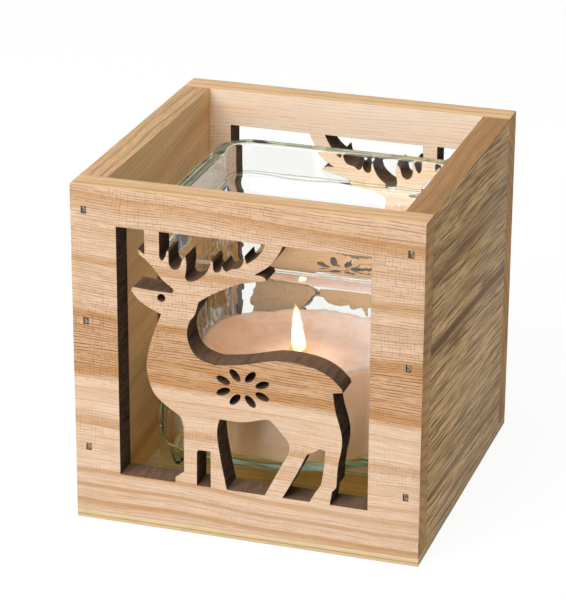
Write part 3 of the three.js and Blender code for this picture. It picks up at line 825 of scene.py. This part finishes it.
def flame_light(name, core, edge, low, high, strength, clear):
    """Glowing gas, orange at its foot and tip and bright between, see-through by the share clear."""
    material, nodes = new_material(name)
    height = nodes.split(nodes.place())[Z]
    share = nodes.maths("DIVIDE", nodes.maths("SUBTRACT", height, low), high - low)
    tone = nodes.ramp(share, ((0.0, edge), (0.28, core), (0.78, core), (1.0, edge)), "EASE")
    glow = nodes.add("ShaderNodeEmission", {"Color": tone, "Strength": strength}).outputs[0]
    gas = nodes.add("ShaderNodeBsdfTransparent").outputs[0]
    nodes.finish(nodes.add("ShaderNodeMixShader", {0: clear, 1: glow, 2: gas}).outputs[0])
    return material


# Making pieces


def new_object(name, data):
    """An object in the scene with this data."""
    made = bpy.data.objects.new(name, data)
    bpy.context.scene.collection.objects.link(made)
    return made


def piece(name, form, materials, body, slot, *nodes):
    """A finished mesh as an object that rides on a body and stands for its nodes."""
    mesh = bpy.data.meshes.new(name)
    form.to_mesh(mesh)
    form.free()
    copied_normals = mesh.attributes.get("custom_normal")
    if copied_normals:
        mesh.attributes.remove(copied_normals)
    mesh.set_sharp_from_angle(angle=CREASE_ANGLE)
    for material in materials:
        mesh.materials.append(material)
    made = new_object(name, mesh)
    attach(made, body)
    if nodes:
        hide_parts(*nodes)
    return made


def solid_copy(node):
    """A node's mesh with its loose triangles joined and its flat faces made whole."""
    form = bmesh.new()
    form.from_mesh(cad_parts[node].data)
    bmesh.ops.remove_doubles(form, verts=form.verts[:], dist=JOIN_DISTANCE)
    bmesh.ops.dissolve_limit(form, angle_limit=FLAT_ANGLE, verts=form.verts[:], edges=form.edges[:])
    return form


def outer_axis(face, low, high):
    """The axis that an outer side of the board faces along, or None for a wall of a cut."""
    middle = face.calc_center_median()
    for axis in (X, Y, Z):
        gap = min(abs(middle[axis] - low[axis]), abs(high[axis] - middle[axis]))
        if abs(face.normal[axis]) > SQUARE_ON and gap < TOUCHING:
            return axis
    return None


def wander(point, seed):
    """An uneven number from -1 to 1 that changes slowly along a sawn edge."""
    slow_pitch = 70.0
    quick_pitch = 420.0
    shift = Vector((seed, seed * 0.7, seed * 1.3))
    slow = noise.noise(point * slow_pitch + shift)
    quick = noise.noise(point * quick_pitch + shift)
    return 0.6 * slow + 0.4 * quick


def cut_rungs(form, face):
    """Cuts a long sawn strip of a board into short rungs, so that its edges can wander."""
    corners = [vert.co for vert in face.verts]
    starts = [min(corner[axis] for corner in corners) for axis in (X, Y, Z)]
    spans = [max(corner[axis] for corner in corners) - starts[axis] for axis in (X, Y, Z)]
    axis = spans.index(max(spans))
    across = Vector((0.0, 0.0, 0.0))
    across[axis] = 1.0
    parts = [face, *face.edges, *face.verts]
    for step in range(1, EDGE_CUTS + 1):
        place = across * (starts[axis] + spans[axis] * step / (EDGE_CUTS + 1))
        made = bmesh.ops.bisect_plane(form, geom=parts, dist=JOIN_DISTANCE, plane_co=place, plane_no=across)
        parts = made["geom"]


def dress_board(node, flat_axis, seed, inset_cuts):
    """A board with sawn, slightly uneven outer edges, rounded arrises and its faces sorted by finish."""
    boards = settings().boards
    low, high = (Vector(corner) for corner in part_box(node))
    margin = Vector((inset_cuts, inset_cuts, inset_cuts))
    inner_low = low + margin
    inner_high = high - margin
    form = solid_copy(node)
    for face in form.faces:
        axis = outer_axis(face, low, high)
        face.smooth = axis is None
        if axis is None:
            middle = face.calc_center_median()
            in_window = all(inner_low[axis] < middle[axis] < inner_high[axis] for axis in (X, Z))
            face.material_index = CUT if in_window else POCKET
        elif axis == flat_axis:
            face.material_index = FACE
        elif axis == Z:
            face.material_index = LONG_EDGE
        else:
            face.material_index = END
    cuts = [edge for edge in form.edges if {face.material_index for face in edge.link_faces} == {FACE, CUT}]
    if cuts:
        made = bmesh.ops.bevel(
            form, geom=cuts, offset=boards.cut_round, offset_type="OFFSET", affect="EDGES",
            segments=1, profile=0.5, material=-1, clamp_overlap=True,
        )
        for face in made["faces"]:
            face.material_index = CUT
    for face in [face for face in form.faces if face.material_index in (LONG_EDGE, END)]:
        cut_rungs(form, face)
    outer = [edge for edge in form.edges if {face.material_index for face in edge.link_faces} in OUTER_PAIRS]
    for vert in {vert for edge in outer for vert in edge.verts}:
        for axis in (X, Y, Z):
            side = 0.0
            if vert.co[axis] - low[axis] < TOUCHING:
                side = 1.0
            elif high[axis] - vert.co[axis] < TOUCHING:
                side = -1.0
            if side and axis != flat_axis:
                vert.co[axis] += side * boards.edge_wander * (0.5 + 0.5 * wander(vert.co, seed))
    bmesh.ops.bevel(
        form, geom=outer, offset=boards.edge_round, offset_type="OFFSET", affect="EDGES",
        segments=2, profile=0.5, material=-1, clamp_overlap=True,
    )
    form.normal_update()
    for face in form.faces:
        square = max(abs(part) for part in face.normal) > SQUARE_ON
        face.smooth = face.material_index in (CUT, POCKET) or not square
    return form


class LANTERN_OT_boards(bpy.types.Operator):
    """Dress the four boards of the box"""

    bl_idname = "lantern.boards"
    bl_label = "Boards"

    def execute(self, context):
        boards = settings().boards
        face = (boards.face_pale, boards.face_tan, boards.face_line)
        back = (boards.back_pale, boards.back_tan, boards.face_line)
        left = (boards.left_pale, boards.left_tan, boards.edge_line)
        right = (boards.right_pale, boards.right_tan, boards.right_line)
        edge = (boards.edge_pale, boards.edge_tan, boards.edge_line)
        dim_edge = (boards.dim_pale, boards.dim_tan, boards.edge_line)
        char = charred_cut("charred_fretwork", boards.char_lit_top, boards.char_light, boards.char_dark)
        ends = end_grain("sawn_ends", boards.end_pale, boards.end_dark)
        face_edges = sawn_wood("sawn_edges_across", FACE_EDGE_GRAIN, *edge)
        left_edges = sawn_wood("left_sawn_edges", SIDE_EDGE_GRAIN, *edge)
        right_edges = sawn_wood("right_sawn_edges", SIDE_EDGE_GRAIN, *dim_edge)
        pockets = crushed_wood("brad_pockets", boards.edge_tan)
        front_wood = sawn_wood("front_board_wood", FRONT_GRAIN, *face)
        back_wood = sawn_wood("back_board_wood", BACK_GRAIN, *back)
        left_wood = sawn_wood("left_board_wood", LEFT_GRAIN, *left)
        right_wood = sawn_wood("right_board_wood", RIGHT_GRAIN, *right)
        plans = (
            ("front_board", "front_panel", Y, front_wood, face_edges, 3.1),
            ("back_board", "back_panel", Y, back_wood, face_edges, 7.9),
            ("left_board", "left_panel", X, left_wood, left_edges, 13.7),
            ("right_board", "right_panel", X, right_wood, right_edges, 19.3),
        )
        for name, node, flat_axis, wood, edges, seed in plans:
            form = dress_board(node, flat_axis, seed, WINDOW_MARGIN)
            piece(name, form, (wood, edges, ends, char, pockets), BOX_BODY, "board_wood", node)
        return {"FINISHED"}


class LANTERN_OT_base(bpy.types.Operator):
    """Dress the thin base sheet"""

    bl_idname = "lantern.base"
    bl_label = "Base sheet"

    def execute(self, context):
        boards = settings().boards
        tones = (boards.sheet_pale, boards.sheet_dark, boards.edge_tan)
        sheet = sawn_wood("base_sheet_wood", SHEET_GRAIN, *tones)
        plies = ply_edge("base_sheet_plies", boards.sheet_pale, boards.sheet_dark)
        pockets = crushed_wood("base_brad_pockets", boards.sheet_dark)
        form = dress_board("base_board", flat_axis=Z, seed=23.9, inset_cuts=0.0)
        for face in form.faces:
            if face.material_index == END:
                face.material_index = LONG_EDGE
        piece("base_sheet", form, (sheet, plies, plies, pockets, pockets), BOX_BODY, "plywood", "base_board")
        return {"FINISHED"}


class LANTERN_OT_brads(bpy.types.Operator):
    """Finish the brads with dull steel"""

    bl_idname = "lantern.brads"
    bl_label = "Brads"

    def execute(self, context):
        boards = settings().boards
        steel = dull_metal("brad_steel_drawn", boards.brad_steel, rough=0.62)
        for name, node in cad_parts.items():
            if "_brad_" in name:
                wear_metal(node, steel, boards.brad_round)
        return {"FINISHED"}


def wear_metal(node, material, round_off):
    """A steel node with its own material and softened edges."""
    node.data.materials.clear()
    node.data.materials.append(material)
    weld = node.modifiers.new("join_faces", "WELD")
    weld.merge_threshold = JOIN_DISTANCE
    bevel = node.modifiers.new("worn_edges", "BEVEL")
    bevel.width = round_off
    bevel.segments = 2
    bevel.limit_method = "ANGLE"
    bevel.angle_limit = math.radians(50)


def drawn_end(vert, fresh):
    """The fresh vertex that was drawn out of this one."""
    return next(end for edge in vert.link_edges for end in edge.verts if end in fresh)


def drawn_up(rings):
    """A closed form drawn from a circle, ring after ring."""
    form = bmesh.new()
    verts = bmesh.ops.create_circle(form, cap_ends=True, segments=len(rings[0]), radius=1.0)["verts"]
    edges = form.edges[:]
    for number, ring in enumerate(rings):
        if number:
            made = bmesh.ops.extrude_edge_only(form, edges=edges)["geom"]
            fresh = {part for part in made if isinstance(part, bmesh.types.BMVert)}
            drawn = [part for part in made if isinstance(part, bmesh.types.BMEdge)]
            edges = [edge for edge in drawn if set(edge.verts) <= fresh]
            verts = [drawn_end(vert, fresh) for vert in verts]
        for vert, place in zip(verts, ring):
            vert.co = place
    bmesh.ops.contextual_create(form, geom=edges)
    bmesh.ops.recalc_face_normals(form, faces=form.faces[:])
    for face in form.faces:
        face.smooth = True
    return form


# Glass cup


def level_direction(angle):
    """A direction in the level plane, turned from +X."""
    return Vector((math.cos(angle), math.sin(angle), 0.0))


def cup_outline(low, high, corner):
    """Points round the cup's collar, with their outward directions."""
    middle = (low + high) / 2
    reach_x = (high.x - low.x) / 2 - corner
    reach_y = (high.y - low.y) / 2 - corner
    centres = [
        Vector((middle.x + reach_x * sx, middle.y + reach_y * sy, 0.0))
        for sx, sy in ((1, 1), (-1, 1), (-1, -1), (1, -1))
    ]
    corner_steps = 14
    side_steps = 36
    outline = []
    for quarter in range(4):
        start = centres[quarter]
        after = centres[(quarter + 1) % 4]
        turn = quarter * QUARTER_TURN
        for step in range(corner_steps):
            out = level_direction(turn + QUARTER_TURN * step / corner_steps)
            outline.append((start + out * corner, out))
        out = level_direction(turn + QUARTER_TURN)
        for step in range(side_steps):
            outline.append((start.lerp(after, step / side_steps) + out * corner, out))
    return outline


def soft_step(share):
    """An even S-shaped change from 0 to 1."""
    return share * share * (3 - 2 * share)


def wall_rings(inset, start, end, steps, uneven):
    """Rings along an upright wall, after its start."""
    return [(inset, start + (end - start) * step / steps, uneven) for step in range(1, steps + 1)]


def ledge_rings(inset, change, start, rise, uneven):
    """Rings along a soft change of inset, after its start."""
    shares = [step / LEDGE_STEPS for step in range(1, LEDGE_STEPS + 1)]
    return [(inset + change * soft_step(share), start + rise * share, uneven) for share in shares]


def arc_rings(inset, height, radius, angles, steps, uneven):
    """Rings round a quarter of a circle, between two angles about its middle."""
    start, end = angles
    rings = []
    for step in range(steps + 1):
        angle = start + (end - start) * step / steps
        rings.append((inset + radius * math.cos(angle), height + radius * math.sin(angle), uneven))
    return rings


def cup_rings(cup, foot, rim):
    """Inset, height and unevenness of each ring, up the outside of the cup and down its inside."""
    outer_wave = 0.35
    underside = foot - cup.sink
    ledge = rim - cup.collar
    body_low = foot + cup.foot + 1.5 * MM
    body_high = ledge + 0.2 * MM
    swell = 2.4 * MM
    shoulder = rim - cup.rim
    rings = [(8.0 * MM, underside, 0.0)]
    foot_arc = (-QUARTER_TURN, -2 * QUARTER_TURN)
    rings += arc_rings(cup.step + cup.foot, underside + cup.foot, cup.foot, foot_arc, 8, outer_wave)
    rings.append((cup.step, body_low, outer_wave))
    rings += wall_rings(cup.step, body_low, body_high, 38, outer_wave)
    rings += ledge_rings(cup.step, -cup.step, body_high, swell, outer_wave)
    rings += wall_rings(0.0, body_high + swell, shoulder, 6, outer_wave)
    rings += arc_rings(cup.rim, shoulder, cup.rim, (2 * QUARTER_TURN, QUARTER_TURN), 6, outer_wave)[1:]
    for step in range(1, 4):
        rings.append((cup.rim + (cup.wall - 2 * cup.rim) * step / 4, rim, outer_wave))
    rings += arc_rings(cup.wall - cup.rim, shoulder, cup.rim, (QUARTER_TURN, 0.0), 6, outer_wave)

    inside = cup.wall + cup.step
    inner_ledge = ledge + 3.2 * MM
    drop = 7.0 * MM
    fillet = 2.0 * MM
    well_low = foot + cup.floor + fillet
    rings += wall_rings(cup.wall, shoulder, inner_ledge, 5, 0.7)
    rings += ledge_rings(cup.wall, cup.step, inner_ledge, -drop, 0.8)
    rings += wall_rings(inside, inner_ledge - drop, well_low, 34, 1.0)
    floor_arc = (2 * QUARTER_TURN, 3 * QUARTER_TURN)
    rings += arc_rings(inside + fillet, well_low, fillet, floor_arc, 6, 0.2)[1:]
    return rings


def ring_place(outline_point, ring, wave, inner):
    """Where one point of a ring lies, with the unevenness of pressed glass."""
    point, out = outline_point
    inset, height, uneven = ring
    place = point - out * inset
    place.z = height
    swell_pitch = 62.0
    ripple_pitch = 150.0
    shift = Vector((41.0, 17.0, 5.0)) if inner else Vector((3.0, 29.0, 13.0))
    swell = noise.noise(Vector((place.x, place.y, place.z * 0.6)) * swell_pitch + shift)
    ripple = noise.noise(Vector((place.x, place.y, place.z * 0.7)) * ripple_pitch + shift)
    behind = 0.56 + 0.44 * out.y
    return place - out * wave * uneven * behind * (0.75 * swell + 0.25 * ripple)


class LANTERN_OT_cup(bpy.types.Operator):
    """Make the pressed glass cup"""

    bl_idname = "lantern.cup"
    bl_label = "Glass cup"

    def execute(self, context):
        cup = settings().cup
        low, high = (Vector(corner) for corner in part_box("glass_cup"))
        outline = cup_outline(low, high, cup.corner)
        rings = cup_rings(cup, low.z, high.z)
        heights = [ring[1] for ring in rings]
        inner_start = heights.index(max(heights))
        form = drawn_up([
            [ring_place(point, ring, cup.wave, index > inner_start) for point in outline]
            for index, ring in enumerate(rings)
        ])
        glass = pressed_glass("pressed_glass", cup, low, high)
        piece("pressed_glass_cup", form, (glass,), GLASS_BODY, "cup_glass", "glass_cup")
        return {"FINISHED"}


# Candle


def spun(profile, middle, steps):
    """A round form from a profile of radius and height, closed on its axis."""
    form = bmesh.new()
    verts = [form.verts.new((middle.x + radius, middle.y, height)) for radius, height in profile]
    edges = [form.edges.new(pair) for pair in zip(verts, verts[1:])]
    bmesh.ops.spin(
        form, geom=verts + edges, cent=(middle.x, middle.y, 0.0), axis=UP,
        angle=FULL_TURN, steps=steps, use_merge=True, use_duplicate=False,
    )
    bmesh.ops.remove_doubles(form, verts=form.verts[:], dist=JOIN_DISTANCE)
    bmesh.ops.recalc_face_normals(form, faces=form.faces[:])
    for face in form.faces:
        face.smooth = True
    return form


def burnt_rim(angle, candle):
    """Height of the candle's rim over its mean, higher at the front and uneven all round."""
    point = level_direction(angle)
    uneven = noise.noise(point * 1.6 + Vector((2.0, 7.0, 0.0))) + 0.5 * noise.noise(point * 4.2)
    return -RIM_TILT * point.y + candle.rim_wander * uneven


def flame_breadth(share):
    """Breadth of a still flame, from 0 at its tip over 1 at its widest to 0 at its foot."""
    return 1.235 * share ** 0.62 * math.sqrt(1.0 - share ** 9)


class LANTERN_OT_candle(bpy.types.Operator):
    """Make the burnt pillar candle, its wick and its flame"""

    bl_idname = "lantern.candle"
    bl_label = "Candle"

    def execute(self, context):
        candle = settings().candle
        low, high = (Vector(corner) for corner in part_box("candle_wax"))
        wick_low, wick_high = (Vector(corner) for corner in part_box("candle_wick"))
        middle = (low + high) / 2
        radius = (high.x - low.x) / 2
        bottom = low.z + 0.05 * MM
        rim = high.z - RIM_LIFT
        pool = high.z - POOL_DEPTH
        wick_top = Vector((middle.x - 0.6 * MM, middle.y, wick_high.z))
        self.wax(candle, middle, radius, bottom, rim, pool, wick_top)
        self.wick(candle, middle, wick_low.z, wick_high.z, pool)
        self.flame(candle, wick_top)
        tin = dull_metal("tinned_steel", candle.tin, rough=0.30)
        wear_metal(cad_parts["wick_sustainer"], tin, candle.tin_round)
        return {"FINISHED"}

    def wax(self, candle, middle, radius, bottom, rim, pool, wick_top):
        """The wax with its uneven rim, sloping bank and melted pool."""
        profile = [
            (0.0, bottom), (radius - 6 * MM, bottom), (radius - 0.8 * MM, bottom),
            (radius - 0.2 * MM, bottom + 0.25 * MM),
        ]
        side_low = bottom + 0.9 * MM
        side_high = rim - 1.4 * MM
        for step in range(13):
            profile.append((radius, side_low + (side_high - side_low) * step / 12))
        profile += [
            (radius - 0.15 * MM, rim - 0.7 * MM), (radius - 0.6 * MM, rim - 0.18 * MM),
            (radius - 1.2 * MM, rim), (radius - 1.9 * MM, rim - 0.12 * MM),
            (radius - 2.6 * MM, rim - 0.6 * MM),
        ]
        bank_start = radius - 3.2 * MM
        bank_end = radius - 9.0 * MM
        bank_top = rim - 1.1 * MM
        for step in range(9):
            share = step / 8
            fall = (pool - bank_top) * soft_step(share) ** 0.8
            profile.append((bank_start + (bank_end - bank_start) * share, bank_top + fall))
        profile += [
            (15 * MM, pool), (10 * MM, pool - 0.2 * MM), (7 * MM, pool - 0.7 * MM), (4 * MM, pool - 1.4 * MM),
            (2.2 * MM, pool - 1.5 * MM), (1.3 * MM, pool - 1.2 * MM), (0.0, pool - 1.1 * MM),
        ]
        form = spun(profile, middle, steps=120)
        for vert in form.verts:
            flat = Vector((vert.co.x - middle.x, vert.co.y - middle.y, 0.0))
            if flat.length < 1.0 * MM:
                continue
            angle = math.atan2(flat.y, flat.x)
            base = pool if flat.length < radius - 0.9 * MM else bottom + 6 * MM
            share = min(max((vert.co.z - base) / (rim - base), 0.0), 1.0)
            vert.co.z += burnt_rim(angle, candle) * share
            if flat.length > radius - 3 * MM and vert.co.z > bottom + 1 * MM:
                bulge = noise.noise(Vector((vert.co.x, vert.co.y, vert.co.z * 0.5)) * 90.0)
                vert.co -= flat.normalized() * 0.22 * MM * (0.5 + 0.5 * bulge)
        material = candle_wax("cream_wax", candle, (wick_top.x, wick_top.y, pool + 1.5 * MM))
        piece("burnt_candle", form, (material,), CANDLE_BODY, "wax", "candle_wax")

    def wick(self, candle, middle, low, high, pool):
        """A braided wick that leans over where it burns."""
        ring_count = 31
        points = 18
        radius = 0.92 * MM
        lean_left = 0.9 * MM
        lean_front = 0.2 * MM
        rings = []
        for number in range(ring_count):
            height = low + (high - low) * number / (ring_count - 1)
            over = max(height - pool, 0.0) / (high - pool)
            lean = Vector((middle.x - lean_left * over ** 2, middle.y - lean_front * over ** 2, height))
            thick = radius * (1.0 - 0.30 * over ** 3)
            ring = []
            for point in range(points):
                angle = FULL_TURN * point / points
                strand = 1.0 + 0.08 * math.cos(3 * angle + number * 0.9)
                ring.append(lean + level_direction(angle) * thick * strand)
            rings.append(ring)
        form = drawn_up(rings)
        material = burnt_cotton("burnt_wick_cotton", candle, pool)
        piece("burnt_wick", form, (material,), CANDLE_BODY, "wick", "candle_wick")

    def flame(self, candle, wick_top):
        """A bright core in a thin orange shell."""
        foot = wick_top.z - FLAME_DROP
        plans = (
            ("flame_core", 0.80, 0.16, 0.95, candle.flame_core, candle.flame_edge, 3.20, 0.0),
            ("flame_shell", 1.00, 0.0, 1.0, candle.flame_edge, candle.flame_foot, 1.00, 0.50),
        )
        for name, width, start, end, core, edge, strength, clear in plans:
            half = candle.flame_width / 2 * width
            low = foot + candle.flame_height * start
            high = foot + candle.flame_height * end
            steps = 40
            shares = [0.5 - 0.5 * math.cos(math.pi * step / steps) for step in range(steps + 1)]
            profile = [(half * flame_breadth(share), high + (low - high) * share) for share in shares]
            form = spun(profile, wick_top, steps=48)
            for vert in form.verts:
                share = max((vert.co.z - foot) / candle.flame_height, 0.0)
                vert.co.x -= FLAME_LEAN * share ** 1.5
            material = flame_light(name + "_light", core, edge, low, high, strength, clear)
            made = piece(name, form, (material,), CANDLE_BODY, None)
            made.visible_shadow = False
        light = bpy.data.lights.new("flame_lamp", "POINT")
        light.color = candle.glow
        light.energy = candle.flame_power
        light.shadow_soft_size = candle.flame_width / 2
        lamp = new_object("flame_lamp", light)
        lamp.matrix_world = Matrix.Translation((wick_top.x, wick_top.y, foot + candle.flame_height * 0.6))
        lamp.visible_camera = False
        lamp.visible_glossy = False
        lamp.visible_transmission = False
        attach(lamp, CANDLE_BODY)


# Stage


def seen_directly(nodes):
    """1 for what the camera sees straight on, in polish or through glass, 0 for light on matt surfaces."""
    path = nodes.add("ShaderNodeLightPath").outputs
    clear = nodes.maths("MAXIMUM", path["Is Glossy Ray"], path["Is Transmission Ray"])
    before_matt = nodes.maths("LESS_THAN", path["Diffuse Depth"], 0.5)
    return nodes.maths("MAXIMUM", path["Is Camera Ray"], nodes.maths("MULTIPLY", clear, before_matt))


def white_floor(name, tone):
    """A pale matt floor that the camera sees as white, with the object's soft shadow on it."""
    material, nodes = new_material(name)
    bounce = nodes.add("ShaderNodeBsdfDiffuse", {"Color": opaque(tone)}).outputs[0]
    shaded = nodes.add("ShaderNodeBsdfDiffuse", {"Color": (0.13, 0.13, 0.13, 1.0)}).outputs[0]
    white = nodes.add("ShaderNodeEmission", {"Color": opaque(WHITE), "Strength": 0.91}).outputs[0]
    seen = nodes.add("ShaderNodeAddShader", {0: shaded, 1: white}).outputs[0]
    nodes.finish(nodes.add("ShaderNodeMixShader", {0: seen_directly(nodes), 1: bounce, 2: seen}).outputs[0])
    return material


def looking_at(aim, azimuth, elevation, distance):
    """Place of something that looks at its aim from this azimuth, elevation and distance."""
    level = math.cos(elevation)
    away = Vector((math.sin(azimuth) * level, -math.cos(azimuth) * level, math.sin(elevation)))
    return Matrix.Translation(aim + away * distance) @ away.to_track_quat("Z", "Y").to_matrix().to_4x4()


def soft_lamp(name, energy, size, azimuth, elevation, distance, aim):
    """A large square lamp that faces the object, with its azimuth and elevation in degrees."""
    light = bpy.data.lights.new(name, "AREA")
    light.shape = "SQUARE"
    light.size = size
    light.energy = energy
    lamp = new_object(name, light)
    lamp.matrix_world = looking_at(aim, math.radians(azimuth), math.radians(elevation), distance)


class LANTERN_OT_stage(bpy.types.Operator):
    """Set up the floor, the light and the camera"""

    bl_idname = "lantern.stage"
    bl_label = "Floor, light and camera"

    def execute(self, context):
        stage = settings().stage
        scene = context.scene
        self.floor(stage)
        self.sky(stage)
        middle = Vector((0.0, 0.0, 0.05))
        soft_lamp("key_lamp", stage.key, size=1.1, azimuth=-20, elevation=36, distance=1.4, aim=middle)
        soft_lamp("top_lamp", stage.top, size=0.8, azimuth=0, elevation=88, distance=1.1, aim=middle)
        self.camera(stage, scene)
        scene.view_settings.view_transform = "Standard"
        return {"FINISHED"}

    def floor(self, stage):
        """A broad sheet just under the lantern."""
        form = bmesh.new()
        bmesh.ops.create_grid(form, x_segments=8, y_segments=8, size=4.0)
        bmesh.ops.translate(form, verts=form.verts[:], vec=(0.0, 0.0, -0.05 * MM))
        mesh = bpy.data.meshes.new("pale_floor")
        form.to_mesh(mesh)
        form.free()
        mesh.materials.append(white_floor("pale_floor_sheet", stage.floor))
        floor = new_object("pale_floor", mesh)

    def sky(self, stage):
        """Even light from all round, seen as white."""
        world = bpy.data.worlds.new("studio")
        world.use_nodes = True
        nodes = Nodes(world.node_tree)
        tone = nodes.mix(seen_directly(nodes), shaded(stage.sky_tone, stage.sky), WHITE)
        light = nodes.add("ShaderNodeBackground", {"Color": tone, "Strength": 1.0}).outputs[0]
        nodes.add("ShaderNodeOutputWorld", {"Surface": light})
        bpy.context.scene.world = world

    def camera(self, stage, scene):
        """The camera at the photograph's viewing angle."""
        data = bpy.data.cameras.new("camera")
        data.lens = stage.lens
        data.clip_start = 0.01
        camera = new_object("camera", data)
        place = looking_at(Vector(stage.aim), stage.azimuth, stage.elevation, stage.distance)
        camera.matrix_world = place @ Matrix.Rotation(stage.roll, 4, "Z")
        scene.camera = camera


OPERATORS = (
    LANTERN_OT_boards, LANTERN_OT_base, LANTERN_OT_brads, LANTERN_OT_cup, LANTERN_OT_candle, LANTERN_OT_stage,
)


class LANTERN_PT_pieces(bpy.types.Panel):
    """Lists the steps that dress the lantern"""

    bl_idname = "LANTERN_PT_pieces"
    bl_label = "Lantern"
    bl_space_type = "VIEW_3D"
    bl_region_type = "UI"
    bl_category = "Lantern"

    def draw(self, context):
        for operator in OPERATORS:
            self.layout.operator(operator.bl_idname)


CLASSES = (
    LanternBoards, LanternCup, LanternCandle, LanternStage, LanternSettings, *OPERATORS, LANTERN_PT_pieces,
)


def register():
    for cls in CLASSES:
        bpy.utils.register_class(cls)
    bpy.types.Scene.lantern = PointerProperty(type=LanternSettings)


def unregister():
    del bpy.types.Scene.lantern
    for cls in reversed(CLASSES):
        bpy.utils.unregister_class(cls)


def main():
    """Dresses the whole lantern."""
    register()
    bpy.ops.lantern.boards()
    bpy.ops.lantern.base()
    bpy.ops.lantern.brads()
    bpy.ops.lantern.cup()
    bpy.ops.lantern.candle()
    bpy.ops.lantern.stage()


if __name__ == "__main__":
    main()
